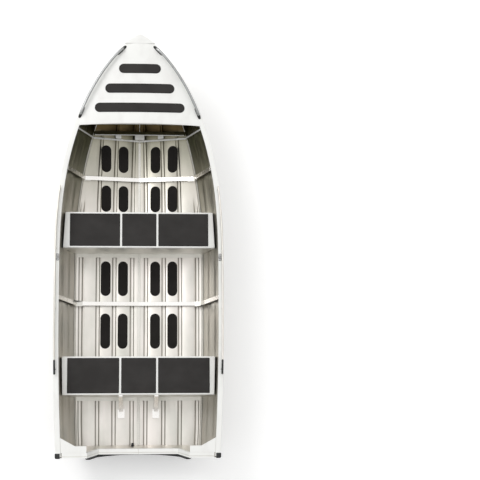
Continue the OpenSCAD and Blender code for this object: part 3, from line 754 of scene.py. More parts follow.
@dataclass(frozen=True)
class HullForm:
    """The lines of the hull, which every other class takes its places from.

    The overall sizes come from the frame. The rest repeat the frame's own lines, so that finer
    plates lie where the frame's plates do.
    """

    half_length: float
    half_beam: float
    side_height: float
    bow_rise: float = 0.145
    half_chine: float = 0.573
    transom_half: float = 0.540
    chine_lift: float = 0.022
    stem_chine: float = 0.505
    stem_lean: float = 0.075
    rake: float = math.radians(12.5)
    keel_w: float = 0.030
    keel_h: float = 0.010
    bottom_t: float = 0.0025
    side_t: float = 0.002
    cap_t: float = 0.0025
    transom_t: float = 0.003
    corner_cap_t: float = 0.003
    nose: float = 0.030
    plate_inset: float = 0.012
    curve_run: float = 0.56
    stern_share: float = 0.95
    gunwale_w: float = 0.046
    inner_lip: float = 0.016

    @classmethod
    def from_frame(cls) -> "HullForm":
        """Reads the overall sizes from the frame."""
        _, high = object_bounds()
        return cls(high[1], high[0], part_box("transom_knee_port")[1].z)

    @property
    def rake_tan(self) -> float:
        """Run aft for each unit of height on the transom."""
        return math.tan(self.rake)

    @property
    def transom_foot(self) -> float:
        """Where the transom's plane meets the ground.

        Returns:
            Its place along Y.
        """
        cover = (2 * SEAT_GAP + (self.transom_t + self.cap_t) / math.cos(self.rake)
                 + self.corner_cap_t)
        return -self.half_length + self.rake_tan * self.side_height + cover

    @property
    def stem_y(self) -> float:
        """Where the chines meet the stem."""
        return self.half_length - self.nose - self.stem_lean

    def fullness(self, distance: float, run: float, p: float, q: float) -> float:
        """Share of the full width at a distance from the tip."""
        return (1 - (1 - clamp(distance / run, 0.0005)) ** p) ** q

    def taper(self, y: float, share: float) -> float:
        """Small taper towards the stern."""
        at = clamp((-y - self.half_length * 0.3) / (self.half_length * 0.7))
        return 1 - (1 - share) * at**2

    def gunwale_x(self, y: float) -> float:
        """Half beam over the gunwale's outer edge.

        Args:
            y: Place along the boat.

        Returns:
            The half beam.
        """
        run = self.curve_run * 2 * self.half_length
        tip = self.half_length - 0.004 - y
        return self.half_beam * self.fullness(tip, run, 2.6, 0.75) * self.taper(y, self.stern_share)

    def sheer_z(self, y: float) -> float:
        """Height of the gunwale's top."""
        at = clamp((y + self.half_length * 0.22) / (self.half_length * 1.22))
        return self.side_height + self.bow_rise * at**2.2

    def plate_top_x(self, y: float) -> float:
        """Half width over the side plates' top edges.

        Args:
            y: Place along the boat.

        Returns:
            The half width.
        """
        run = self.curve_run * 2 * self.half_length - self.nose
        full = self.fullness(self.half_length - self.nose + 0.002 - y, run, 2.6, 0.75)
        half = (self.half_beam - self.plate_inset) * self.taper(y, self.stern_share)
        return max(self.nose * 0.4, half * full)

    def plate_top_z(self, y: float) -> float:
        """Height of the side plates' top edge."""
        return self.sheer_z(y) - self.cap_t - SEAT_GAP

    def chine_x(self, y: float) -> float:
        """Half width over the chine.

        Args:
            y: Place along the boat.

        Returns:
            The half width.
        """
        run = self.curve_run * 2 * self.half_length * 0.932
        full = self.fullness(self.stem_y + 0.007 - y, run, 2.4, 0.76)
        return self.half_chine * full * self.taper(y, self.transom_half / self.half_chine)

    def chine_z(self, y: float) -> float:
        """Height of the chine.

        Args:
            y: Place along the boat.

        Returns:
            The height.
        """
        start = self.half_length * 0.11
        at = clamp((y + start) / (self.stem_y + start))
        return lerp(self.keel_h + SEAT_GAP + self.chine_lift, self.stem_chine, at**2.4)

    def keel_z(self, y: float) -> float:
        """Height of the bottom on the centre line.

        Args:
            y: Place along the boat.

        Returns:
            The height.
        """
        start = self.half_length * 0.27
        at = clamp((y - start) / (self.stem_y - start))
        return lerp(self.keel_h + SEAT_GAP, self.stem_chine, 1 - (1 - at**2.2) ** 0.625)

    def bottom_z(self, x: float, y: float) -> float:
        """Height of the bottom's outside between keel and chine."""
        return lerp(self.keel_z(y), self.chine_z(y), min(1.0, abs(x) / self.chine_x(y)))

    def floor_z(self, x: float, y: float) -> float:
        """Height of the bottom's inside."""
        return self.bottom_z(x, y) + self.bottom_t

    def rake_shift(self, y: float, z: float) -> float:
        """Run aft of a point because of the raked transom."""
        zone = self.transom_foot + 0.4
        return -self.rake_tan * z * clamp((zone - y) / (zone - self.transom_foot))

    def stem_shift(self, y: float, share: float) -> float:
        """Run forward of a point because of the leaning stem."""
        zone = self.stem_y - 0.445
        return share * self.stem_lean * clamp((y - zone) / (self.stem_y - zone)) ** 2

    def stations(self, count: int) -> list[float]:
        """Places of cross sections, closer together towards the bow."""
        return [lerp(self.transom_foot, self.stem_y, 1 - (1 - i / (count - 1)) ** 1.6)
                for i in range(count)]

    def wall_x(self, y: float, z: float) -> float:
        """Half width inside the side plates at a height.

        Args:
            y: Place along the boat.
            z: Height.

        Returns:
            The half width.
        """
        foot = self.chine_z(y) + self.bottom_t
        share = (z - foot) / (self.plate_top_z(y) - foot)
        return lerp(self.chine_x(y), self.plate_top_x(y), share) - self.side_t - SEAT_GAP

    def gunwale_point(self, y: float, inboard: float, up: float) -> Point:
        """A point on the gunwale, drawn for starboard.

        Args:
            y: Place along the boat.
            inboard: Distance from the outer edge.
            up: Height over the gunwale's top.

        Returns:
            The point.
        """
        step = 0.001
        slope = (self.gunwale_x(y + step) - self.gunwale_x(y - step)) / (2 * step)
        size = math.hypot(1, slope)
        x = self.gunwale_x(y) - inboard / size
        return (max(0.001, x), y + inboard * slope / size, self.sheer_z(y) + up)

    def on_transom(self, u: float, v: float, out: float) -> Point:
        """A point on the transom: u across, v up the slope, out of the boat by out."""
        sin, cos = math.sin(self.rake), math.cos(self.rake)
        return (u, self.transom_foot - sin * v - cos * out, cos * v - sin * out)

    def slope_up(self, z: float) -> float:
        """Distance up the transom to a height."""
        return z / math.cos(self.rake)


# --- hull -------------------------------------------------------------------------


@dataclass(frozen=True)
class HullShell:
    """Pressed bottom and side plates, the keel bar and the seams welded between them."""

    form: HullForm
    count: int = 96
    strake_at: tuple[float, ...] = (0.062, 0.221, 0.367, 0.520)
    strake_end: tuple[float, ...] = (0.69, 0.84, 0.60, 0.27)
    strake_draw: tuple[float, ...] = (0.9, 0.3, 0.3, 0.3)
    strake_limit: tuple[float, ...] = (0.4, 0.73, 0.84, 0.93)
    strake_depth: float = 0.012
    strake_half: float = 0.020
    strake_fade: float = 0.160
    swages: tuple[tuple[float, float], ...] = ((0.26, 0.44), (0.60, 0.78))
    swage_depth: float = 0.007
    bead_r: float = 0.0045
    bead_pitch: float = 0.009
    strip_w: float = 0.012
    strip_fore: float = 1.0
    angle_t: float = 0.002
    angle_rise: float = 1.1
    cover_h: float = 0.007
    cover_taper: float = 0.8

    def strake_x(self, k: int, y: float) -> float:
        """Distance of a strake from the centre line.

        Args:
            k: Number of the strake, counted from the keel.
            y: Place along the boat.

        Returns:
            The distance.
        """
        half = self.form.chine_x(y)
        drawn = self.strake_at[k] * (half / self.form.half_chine) ** self.strake_draw[k]
        return min(drawn, self.strake_limit[k] * half)

    def bottom_row(self, y: float) -> list[Flat]:
        """Outside of the bottom in one cross section, from the keel to the chine.

        Args:
            y: Place along the boat.

        Returns:
            Points as X and Z.
        """
        form = self.form
        half = form.chine_x(y)
        w = min(self.strake_half, 0.035 * half)
        row = [(SEAT_GAP / 2, form.keel_z(y))]
        for k in range(len(self.strake_at)):
            middle = self.strake_x(k, y)
            fade = clamp((self.strake_end[k] * form.half_length - y) / self.strake_fade)
            for u in (-1.1, -1.0, -0.9, -0.75, -0.6, -0.5, -0.38, 0.0,
                      0.38, 0.5, 0.6, 0.75, 0.9, 1.0, 1.1):
                x = middle + u * w
                drop = self.strake_depth * fade * soft_ramp((1 - abs(u)) * 2)
                row.append((x, form.bottom_z(x, y) - drop))
        row.append((half, form.chine_z(y)))
        return row

    def bottom(self, side: Side) -> None:
        """Makes the bottom plate of one side.

        Args:
            side: Port or starboard.
        """
        form = self.form

        def row(y: float, up: float) -> Ring:
            """One cross section of the plate, raised by up."""
            return [(x, y + form.rake_shift(y, z + up), z + up) for x, z in self.bottom_row(y)]

        ys = form.stations(self.count)
        shape = Shape().plate([row(y, 0) for y in ys], [row(y, form.bottom_t) for y in ys])
        piece(f"bottom_plate_{side.word}", mirrored(shape, side), BOTTOM_METAL,
              [f"bottom_{side.word}"], sharp=55)

    def side(self, side: Side) -> None:
        """Makes the side plate of one side, with its two swages.

        Args:
            side: Port or starboard.
        """
        form = self.form
        shares = [0, 0.1, 0.2]
        for low, high in self.swages:
            shares += [lerp(low, high, t) for t in
                       (-0.06, 0, 0.06, 0.14, 0.22, 0.28, 0.36, 0.64, 0.72, 0.78, 0.86, 0.94,
                        1, 1.06)]
        shares = sorted([*shares, 0.5, 0.86, 0.93, 1.0])

        def bulge(share: float) -> float:
            """How far the swages stand out at a share of the height, from 0 to 1."""
            return sum(soft_ramp(min(share - low, high - share) / 0.05)
                       for low, high in self.swages)

        def row(y: float, back: float) -> Ring:
            """One cross section of the plate.

            Args:
                y: Place along the boat.
                back: How far inside the outer face it lies.

            Returns:
                Its points, from the chine to the top edge.
            """
            foot = form.chine_z(y) + form.bottom_t + SEAT_GAP
            top = form.plate_top_z(y)
            top_y = y + form.rake_shift(y, top) + form.stem_shift(y, 1)
            foot_y = y + form.rake_shift(y, foot)
            fade = (clamp((form.half_length * 0.72 - y) / 0.2)
                    * clamp((y - form.transom_foot) / 0.06))
            return [(lerp(form.chine_x(y), form.plate_top_x(top_y), s)
                     + self.swage_depth * fade * bulge(s) - back,
                     lerp(foot_y, top_y, s), lerp(foot, top, s)) for s in shares]

        ys = form.stations(self.count)
        shape = Shape().plate([row(y, 0) for y in ys], [row(y, form.side_t) for y in ys])
        piece(f"side_plate_{side.word}", mirrored(shape, side), SHADED_SIDE_METAL,
              [f"side_{side.word}"], sharp=55)

    def keel_line(self) -> list[Flat]:
        """The centre line, from the transom foot round the forefoot and up the stem.

        Returns:
            Points as Y and Z.
        """
        form = self.form
        line = [(y + form.rake_shift(y, form.keel_z(y)), form.keel_z(y))
                for y in form.stations(self.count)]
        top = form.plate_top_z(form.stem_y + form.stem_lean)
        line += [(form.stem_y + v * form.stem_lean, lerp(form.stem_chine, top, v) - 0.002 * v)
                 for v in spread(0.1, 1, 10)]
        return line

    def keel_bar(self) -> None:
        """Makes the keel bar with its rounded edges."""
        form = self.form
        line = [Vector(p) for p in self.keel_line()]
        corners = [(-form.keel_w / 2, 0), (form.keel_w / 2, 0),
                   (form.keel_w / 2, form.keel_h), (-form.keel_w / 2, form.keel_h)]
        section = fillet(corners, 0.0035, 3)
        rings = []
        for i, at in enumerate(line):
            along = (line[min(i + 1, len(line) - 1)] - line[max(i - 1, 0)]).normalized()
            out = Vector((along.y, -along.x))
            rings.append([(u, *(at + out * (SEAT_GAP + v))) for u, v in section])
        piece("keel_bar_extrusion", Shape().loft(rings), HULL_METAL, ["keel_bar"], sharp=50)

    def bead(self, shape: Shape, path: Sequence[Point], radius: float) -> None:
        """Adds a weld bead with its ripples along a path.

        Args:
            shape: The shape that gets it.
            path: Points along the seam.
            radius: Radius of the bead.
        """
        line = [Vector(p) for p in path]
        fine = [line[0]]
        for a, b in zip(line, line[1:]):
            steps = max(1, round((b - a).length / (self.bead_pitch / 2)))
            fine += [a.lerp(b, (k + 1) / steps) for k in range(steps)]
        last = len(fine) - 1

        def swell(t: float) -> float:
            """Radius of the bead, which ripples along the seam."""
            return radius * (1.0 if round(t * last) % 2 else 0.8)

        shape.tube([tuple(p) for p in fine], swell, 6)

    def seams(self) -> None:
        """Makes the welds inside and outside along the chines, and inside along the keel."""
        form = self.form
        ys = form.stations(60)
        inner, outer = Shape(), Shape()
        keel = [(0, y + form.rake_shift(y, form.keel_z(y)), form.keel_z(y) + form.bottom_t)
                for y in ys[:-2]]
        self.bead(inner, keel, self.bead_r)
        for sign in (-1, 1):
            chine = [(sign * (form.chine_x(y) - form.side_t),
                      y + form.rake_shift(y, form.chine_z(y)),
                      form.chine_z(y) + form.bottom_t) for y in ys[:-2]]
            self.bead(inner, chine, self.bead_r)
            edge = [(sign * form.chine_x(y), y + form.rake_shift(y, form.chine_z(y)),
                     form.chine_z(y) + form.bottom_t) for y in ys]
            self.bead(outer, edge, self.bead_r * 0.8)
        piece("seam_welds_inside", inner, WELD)
        piece("seam_welds_outside", outer, WELD)

    def strips(self) -> None:
        """Makes the angle strips along the chines and the cover strip over the keel seam."""
        form = self.form
        ys = [y for y in form.stations(80) if y < self.strip_fore]
        chines, t, w = Shape(), self.angle_t, self.strip_w
        rise = w * self.angle_rise
        for sign in (-1, 1):
            rings = []
            for y in ys:
                x, z = form.chine_x(y) - form.side_t, form.chine_z(y) + form.bottom_t
                at = y + form.rake_shift(y, z)
                rings.append([(sign * (x - w), at, z), (sign * (x - t), at, z + rise),
                              (sign * (x + t), at, z + rise + t), (sign * (x - w), at, z - t)])
            chines.loft(rings)
        piece("chine_angles", chines, WELD, sharp=25)
        keel, half, rings = Shape(), self.strip_w, []
        crest, high = half * self.cover_taper, self.cover_h
        for y in ys:
            z = form.keel_z(y) + form.bottom_t
            at = y + form.rake_shift(y, z)
            rings.append([(-half, at, z), (-crest, at, z + high), (crest, at, z + high),
                          (half, at, z), (0, at, z - 0.001)])
        keel.loft(rings)
        piece("keel_cover_strip", keel, WELD, sharp=25)

    def build(self) -> None:
        """Makes the whole shell."""
        for side in Side:
            self.bottom(side)
            self.side(side)
        self.keel_bar()
        self.seams()
        self.strips()


# --- gunwales, rails and rowlocks ---------------------------------------------------


@dataclass(frozen=True)
class Gunwales:
    """Gunwale cappings with the hand rails, their grips and the rowlock sockets."""

    form: HullForm
    lip: float = 0.030
    bend_r: float = 0.006
    inner_r: float = 0.0035
    edge_r: float = 0.0009
    aft_lap: float = 0.001
    side_rail_d: float = 0.016
    side_rail_in: float = 0.011
    side_rail_h: float = 0.026
    side_rail_y: tuple[float, ...] = (-1.005, -0.195, 0.065, 0.295, 0.505)
    side_feet: tuple[float, ...] = (0.475, -0.045, -0.565)
    grip_y: float = -1.130
    grip_foot_y: float = -1.085
    bow_rail_d: float = 0.022
    bow_rail_in: float = 0.022
    bow_rail_h: float = 0.046
    bow_rail_y: tuple[float, float] = (1.140, 1.718)
    foot_h: float = 0.016
    shoe_l: tuple[float, float] = (0.104, 0.080)
    rowlock_y: float = -0.119

    def capping(self, side: Side) -> None:
        """Makes one gunwale: a channel with rounded corners bent round the sheer.

        Args:
            side: Port or starboard.
        """
        form, t = self.form, self.form.cap_t
        corners = [(0, -self.lip), (0, 0), (form.gunwale_w, 0), (form.gunwale_w, -form.inner_lip),
                   (form.gunwale_w - t, -form.inner_lip), (form.gunwale_w - t, -t), (t, -t),
                   (t, -self.lip)]
        radii = {1: self.bend_r, 2: self.bend_r, 5: self.inner_r, 6: self.inner_r}
        section = [p for i in range(len(corners))
                   for p in self.rounded(corners, i, radii.get(i, self.edge_r))]
        aft = form.transom_foot - form.rake_tan * (form.side_height - form.inner_lip)
        fore = form.half_length - 0.03
        ys = [lerp(aft + self.aft_lap, fore, 1 - (1 - i / 119) ** 1.6) for i in range(120)]
        rings = [[form.gunwale_point(y, d, h) for d, h in section] for y in ys]
        piece(f"gunwale_capping_{side.word}", mirrored(Shape().loft(rings), side), WHITE_COAT,
              [f"gunwale_{side.word}"], sharp=45)

    @staticmethod
    def rounded(corners: Sequence[Flat], i: int, radius: float) -> list[Flat]:
        """The rounding of one corner of a section.

        Args:
            corners: Corners of the section, in order.
            i: Number of the corner.
            radius: How far from the corner the rounding starts, at most.

        Returns:
            Points of the rounding.
        """
        here = Vector(corners[i])
        a = Vector(corners[i - 1]) - here
        b = Vector(corners[(i + 1) % len(corners)]) - here
        reach = min(radius, a.length * 0.45, b.length * 0.45)
        start, end = here + a.normalized() * reach, here + b.normalized() * reach
        return [tuple((1 - t) ** 2 * start + 2 * t * (1 - t) * here + t * t * end)
                for t in (0, 0.25, 0.5, 0.75, 1)]

    def side_rail(self, side: Side) -> None:
        """Makes one side rail on its feet, and the black grip at its aft end.

        Args:
            side: Port or starboard.
        """
        form = self.form
        a, b = self.side_rail_y[0], self.side_rail_y[-1]
        path = [form.gunwale_point(y, self.side_rail_in, self.side_rail_h)
                for y in spread(a, b, 60)]
        ends = 0.004

        def rounded_end(t: float) -> float:
            """Radius of the rail, which rounds off at both ends."""
            edge = min(t, 1 - t) * (b - a)
            return self.side_rail_d / 2 * math.sqrt(1 - (1 - clamp(edge / ends)) ** 2 * 0.75)

        path = [path[0], *[tuple(Vector(path[0]).lerp(Vector(path[1]), k)) for k in (0.06, 0.16)],
                *path[1:]]
        shape = Shape().tube(path, rounded_end, 20)
        for y in self.side_feet:
            self.post(shape, y, 0.006)
        piece(f"side_rail_tube_{side.word}", mirrored(shape, side), HULL_METAL,
              [f"side_rail_{side.word}"])
        grip_path = [form.gunwale_point(y, self.side_rail_in, self.side_rail_h)
                     for y in spread(self.grip_y, a - SEAT_GAP, 33)]
        r = self.side_rail_d / 2 + 0.001

        def ribbed(t: float) -> float:
            """Radius of the grip, with its ribs and round ends.

            Args:
                t: Share of the way along the grip.

            Returns:
                The radius.
            """
            end = math.sqrt(max(0.15, 1 - (1 - clamp(min(t, 1 - t) * 20)) ** 2))
            rib = 0.0008 if round(t * 32) % 2 and 0.12 < t < 0.88 else 0.0
            return (r - rib) * end

        grip = Shape().tube(grip_path, ribbed, 20)
        self.post(grip, self.grip_foot_y, 0.006)
        piece(f"side_rail_handle_{side.word}", mirrored(grip, side), PLASTIC,
              [f"side_rail_grip_{side.word}"])

    def post(self, shape: Shape, y: float, radius: float) -> None:
        """Adds a turned foot under the side rail, with a flare where it stands.

        Args:
            shape: The shape that gets it.
            y: Place along the boat.
            radius: Radius of its stem.
        """
        form = self.form
        foot = Vector(form.gunwale_point(y, self.side_rail_in, SEAT_GAP))
        height = self.side_rail_h - self.side_rail_d / 2 - 2 * SEAT_GAP
        turn = [2 * math.pi * k / 24 for k in range(24)]
        profile = [(1.7, 0), (1.7, 0.1), (1.45, 0.17), (1.1, 0.3), (1.0, 0.5), (1.0, 0.8),
                   (1.25, 1)]
        shape.loft([[(foot.x + radius * s * math.cos(a), foot.y + radius * s * math.sin(a),
                      foot.z + height * h) for a in turn] for s, h in profile])

    def bow_rail_point(self, t: float) -> Point:
        """A point on the middle line of the bow rail.

        Args:
            t: Share of the way from its aft end.

        Returns:
            The point.
        """
        rise = math.sin(math.pi * clamp(t)) ** 0.28 if 0 < t < 1 else 0.0
        y = lerp(*self.bow_rail_y, t)
        up = self.foot_h + (self.bow_rail_h - self.foot_h) * rise
        return self.form.gunwale_point(y, self.bow_rail_in, up)

    def bow_rail(self, side: Side) -> None:
        """Makes one bow rail and the two black shoes it stands in.

        Args:
            side: Port or starboard.
        """
        ts = [0.5 - 0.5 * math.cos(math.pi * i / 64) for i in range(65)]
        shape = Shape().tube([self.bow_rail_point(t) for t in ts], self.bow_rail_d / 2, 20)
        piece(f"bow_rail_tube_{side.word}", mirrored(shape, side), RAIL_METAL,
              [f"bow_rail_{side.word}"])
        shoes = Shape()
        for y, inward, length in zip(self.bow_rail_y, (1, -1), self.shoe_l):
            self.shoe(shoes, y, inward, length)
        piece(f"bow_rail_shoes_{side.word}", mirrored(shoes, side), PLASTIC,
              [f"bow_rail_feet_{side.word}"])

    def shoe(self, shapes: Shape, y: float, inward: int, length: float) -> None:
        """Adds a moulded shoe that follows the gunwale and holds one end of the bow rail.

        Args:
            shapes: The shape that gets it.
            y: Place of the rail's end.
            inward: 1 where the rail runs forward from it, -1 where it runs aft.
            length: How long it is.
        """
        form = self.form
        half = self.bow_rail_d / 2 + 0.0015
        rings = []
        for i in range(21):
            t = i / 20
            along = (t - 0.36) * length * inward
            width = half * math.sqrt(max(0.02, 1 - (2 * t - 1) ** 6))
            top = 0.006 + 0.020 * math.exp(-(((t - 0.36) / 0.22) ** 2))
            top *= math.sqrt(max(0.05, 1 - (2 * t - 1) ** 4))
            ring = []
            for k in range(13):
                a = math.pi * k / 12
                ring.append(form.gunwale_point(y + along, self.bow_rail_in - width * math.cos(a),
                                               SEAT_GAP + top * math.sin(a) ** 0.6))
            rings.append(ring)
        shapes.loft(rings)

    def rowlock(self, side: Side) -> None:
        """Makes the socket that takes a rowlock pin, on its screwed plate.

        Args:
            side: Port or starboard.
        """
        low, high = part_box(f"rowlock_socket_{Side.STARBOARD.word}")
        x, y = (low.x + high.x) / 2, self.rowlock_y
        base, top = low.z, high.z
        plate = fillet([(-0.014, -0.032), (0.014, -0.032), (0.014, 0.032), (-0.014, 0.032)], 0.012)

        def place(u: float, v: float, w: float) -> Point:
            """Puts a point of the plate's drawing on the gunwale."""
            return (x + u, y + v, w)

        shape = Shape().slab(plate, base, base + 0.004, 0.0012, place)
        turn = [2 * math.pi * k / 40 for k in range(40)]
        profile = [(0.0066, base + 0.003), (0.0066, top - 0.001), (0.0076, top), (0.0105, top),
                   (0.0115, top - 0.001), (0.0115, base + 0.007), (0.0135, base + 0.0038),
                   (0.0135, base + 0.003)]
        rings = [[place(r * math.cos(a), r * math.sin(a), z) for a in turn] for r, z in profile]
        shape.loft(rings, Cap.OPEN)
        count = len(turn)
        first, last = len(shape.points) - count * len(profile), len(shape.points) - count
        shape.faces += [(first + k, first + (k + 1) % count, last + (k + 1) % count, last + k)
                        for k in range(count)]
        for v in (-0.024, 0.024):
            self.screw(shape, place, v, base + 0.004)
        piece(f"rowlock_{side.word}", mirrored(shape, side), STEEL,
              [f"rowlock_socket_{side.word}"], sharp=30)

    @staticmethod
    def screw(shape: Shape, place: Place, v: float, z: float) -> None:
        """Adds a pan-head screw.

        Args:
            shape: The shape that gets it.
            place: Puts a point of the flat drawing on the plate.
            v: Its place along the plate.
            z: Height of the plate's top.
        """
        turn = [2 * math.pi * k / 16 for k in range(16)]
        profile = [(1.0, 0.0), (1.0, 0.35), (0.85, 0.75), (0.5, 0.96), (0.15, 1.0)]
        shape.loft([[place(0.0036 * r * math.cos(a), v + 0.0036 * r * math.sin(a),
                           z + 0.0018 * h) for a in turn] for r, h in profile])

    def build(self) -> None:
        """Makes both gunwales with what stands on them."""
        for side in Side:
            self.capping(side)
            self.side_rail(side)
            self.bow_rail(side)
            self.rowlock(side)


# --- bow and foredeck ---------------------------------------------------------------


@dataclass(frozen=True)
class Bow:
    """Bow cap, foredeck with its foam strips, the beam under it and the eye on the stem."""

    form: HullForm
    lap: float = 0.036
    crown: float = 0.026
    aft: float = 1.033
    arch: float = 0.013
    plate_t: float = 0.0025
    strips: tuple[Flat, ...] = ((1.530, 0.365), (1.356, 0.602), (1.187, 0.781))
    strip_w: float = 0.082
    pad_t: float = 0.006
    lip: float = 0.030
    cap_t: float = 0.004

    @property
    def fore(self) -> float:
        """Fore end of the deck, where the bow cap starts."""
        return self.form.half_length - 0.082

    def edge(self, y: float) -> Point:
        """Edge of the deck's underside on the gunwale.

        Args:
            y: Place along the boat.

        Returns:
            The point.
        """
        form = self.form
        step = 0.001
        slope = (form.gunwale_x(y + step) - form.gunwale_x(y - step)) / (2 * step)
        back = y - self.lap * slope / math.hypot(1, slope)
        return form.gunwale_point(back, self.lap, SEAT_GAP)

    def deck_z(self, x: float, y: float) -> float:
        """Height of the deck's underside.

        Args:
            x: Place across the boat.
            y: Place along the boat.

        Returns:
            The height.
        """
        x_edge, _, z_edge = self.edge(y)
        widest = self.edge(self.aft)[0]
        return z_edge + self.crown * x_edge / widest * (1 - (x / x_edge) ** 2)

    def deck(self) -> None:
        """Makes the crowned deck plate with a rolled aft edge."""
        t = self.plate_t
        shares = [math.sin(math.pi / 2 * k / 18) for k in range(-18, 19)]
        roll = [(0.0, -0.0062), (0.0006, -0.003), (0.002, -0.0009), (0.0045, 0.0)]

        def row(y0: float, up: float, drop: float) -> Ring:
            """One row across the deck, bent forward by the arch of its aft edge.

            Args:
                y0: Place of its ends along the boat.
                up: Height over the deck's underside.
                drop: Height of the rolled edge there.

            Returns:
                Its points, from port to starboard.
            """
            half = self.edge(y0)[0]
            bow = self.arch * (self.fore - y0) / (self.fore - self.aft)
            made = []
            for share in shares:
                y = y0 + bow * (1 - share * share)
                made.append((half * share, y, self.deck_z(half * share, y) + up + drop))
            return made

        ys = [(self.aft + run, drop) for run, drop in roll]
        ys += [(y, 0.0) for y in spread(self.aft + 0.02, self.fore, 40)]
        top = [row(y, t, max(drop, -0.002)) for y, drop in ys]
        back = [row(y, 0, max(drop, -0.0)) for y, drop in ys]
        piece("foredeck_plate", Shape().plate(top, back), WHITE_COAT, ["foredeck"], sharp=50)

    def foam(self) -> None:
        """Makes the three foam strips across the deck."""
        for i, (y0, length) in enumerate(self.strips):

            def place(u: float, v: float, w: float, at: float = y0) -> Point:
                """Lays a point of a strip's drawing on the deck."""
                return (u, at + v, self.deck_z(u, at + v) + self.plate_t + SEAT_GAP + w)

            shape = Shape().slab(stadium(length, self.strip_w, True), 0, self.pad_t, 0.005, place,
                                 rings=9, crown=0.0004, run=0.009)
            made = piece(f"deck_foam_{i + 1}", shape, FOAM, ["deck_strips"], sharp=60)

    def bow_cap(self) -> None:
        """Makes the cap over the meeting ends of the gunwales, with its lip and flat land."""
        form = self.form
        start = self.fore + SEAT_GAP
        steps = [math.sin(math.pi / 2 * k / 22) for k in range(23)]

        def row(y: float, x: float, up: float, edge: float) -> Ring:
            """One cross section of the cap.

            Args:
                y: Place along the boat.
                x: Its half width.
                up: Height over the seat on the gunwales.
                edge: Radius of its edges.

            Returns:
                Its points, from port to starboard.
            """
            z = form.sheer_z(y + form.gunwale_w * 0.9) + SEAT_GAP + up
            half = [(x, z - self.lip)]
            half += [(x - edge * (1 - math.sin(a)), z - edge * (1 - math.cos(a)))
                     for a in (math.pi / 2, math.pi / 3, math.pi / 6, 0)]
            half += [((x - edge) * s, z + 0.002 * (1 - s)) for s in (0.7, 0.35)]
            left = [(-u, y, v) for u, v in half]
            right = [(u, y, v) for u, v in reversed(half)]
            return [*left, (0.0, y, z + 0.002), *right]

        def rows(end: float, up: float, shift: float, edge: float) -> list[Ring]:
            """The cap's cross sections, from its aft end to the tip.

            Args:
                end: Place of the tip.
                up: Height over the seat on the gunwales.
                shift: How far outside the gunwales it lies.
                edge: Radius of its edges.

            Returns:
                The cross sections.
            """
            made = []
            for s in steps:
                y = lerp(start, end, s)
                x = max(edge * 1.1, form.gunwale_x(y - shift) + SEAT_GAP)
                made.append(row(y, x, up, edge))
            return made

        length = form.half_length
        inner = rows(length - self.cap_t, 0, 0, 0.003)
        outer = rows(length, self.cap_t, self.cap_t, 0.006)
        piece("bow_cap_casting", Shape().plate(inner, outer), WHITE_COAT, ["bow_cap"], sharp=50)

    def eye(self) -> None:
        """Makes the bow eye: a bent rod on a base plate."""
        low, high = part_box("bow_eye")
        form = self.form
        top = form.plate_top_z(form.stem_y + form.stem_lean)
        lean = math.atan(form.stem_lean / (top - form.stem_chine))
        at_z = form.stem_chine + 0.060
        share = (at_z - form.stem_chine) / (top - form.stem_chine)
        origin = Vector((0, form.stem_y + share * form.stem_lean, at_z))
        turn = Matrix.Rotation(-lean, 3, "X")

        def place(u: float, v: float, w: float) -> Point:
            """Puts a point of the eye's drawing on the stem."""
            return tuple(origin + turn @ Vector((u, form.keel_h + 3 * SEAT_GAP + w, v)))

        plate = fillet([(-0.013, -0.031), (0.013, -0.031), (0.013, 0.031), (-0.013, 0.031)], 0.011)
        shape = Shape().slab(plate, 0, 0.003, 0.001, place)
        arc = [math.pi * k / 24 for k in range(25)]
        shape.tube([place(0, 0.018 * math.cos(a), 0.002 + 0.018 * math.sin(a)) for a in arc],
                   0.005, 16)
        piece("bow_eye_rod", shape, STEEL, ["bow_eye"], sharp=40)
        LOG.info("bow eye reaches from %.3f to %.3f m up", low.z, high.z)

    def build(self) -> None:
        """Makes the bow."""
        self.deck()
        self.foam()
        self.bow_cap()
        self.eye()
        dress_node("deck_beam", WHITE_COAT, 0.0006)


# --- frames and seats ---------------------------------------------------------------


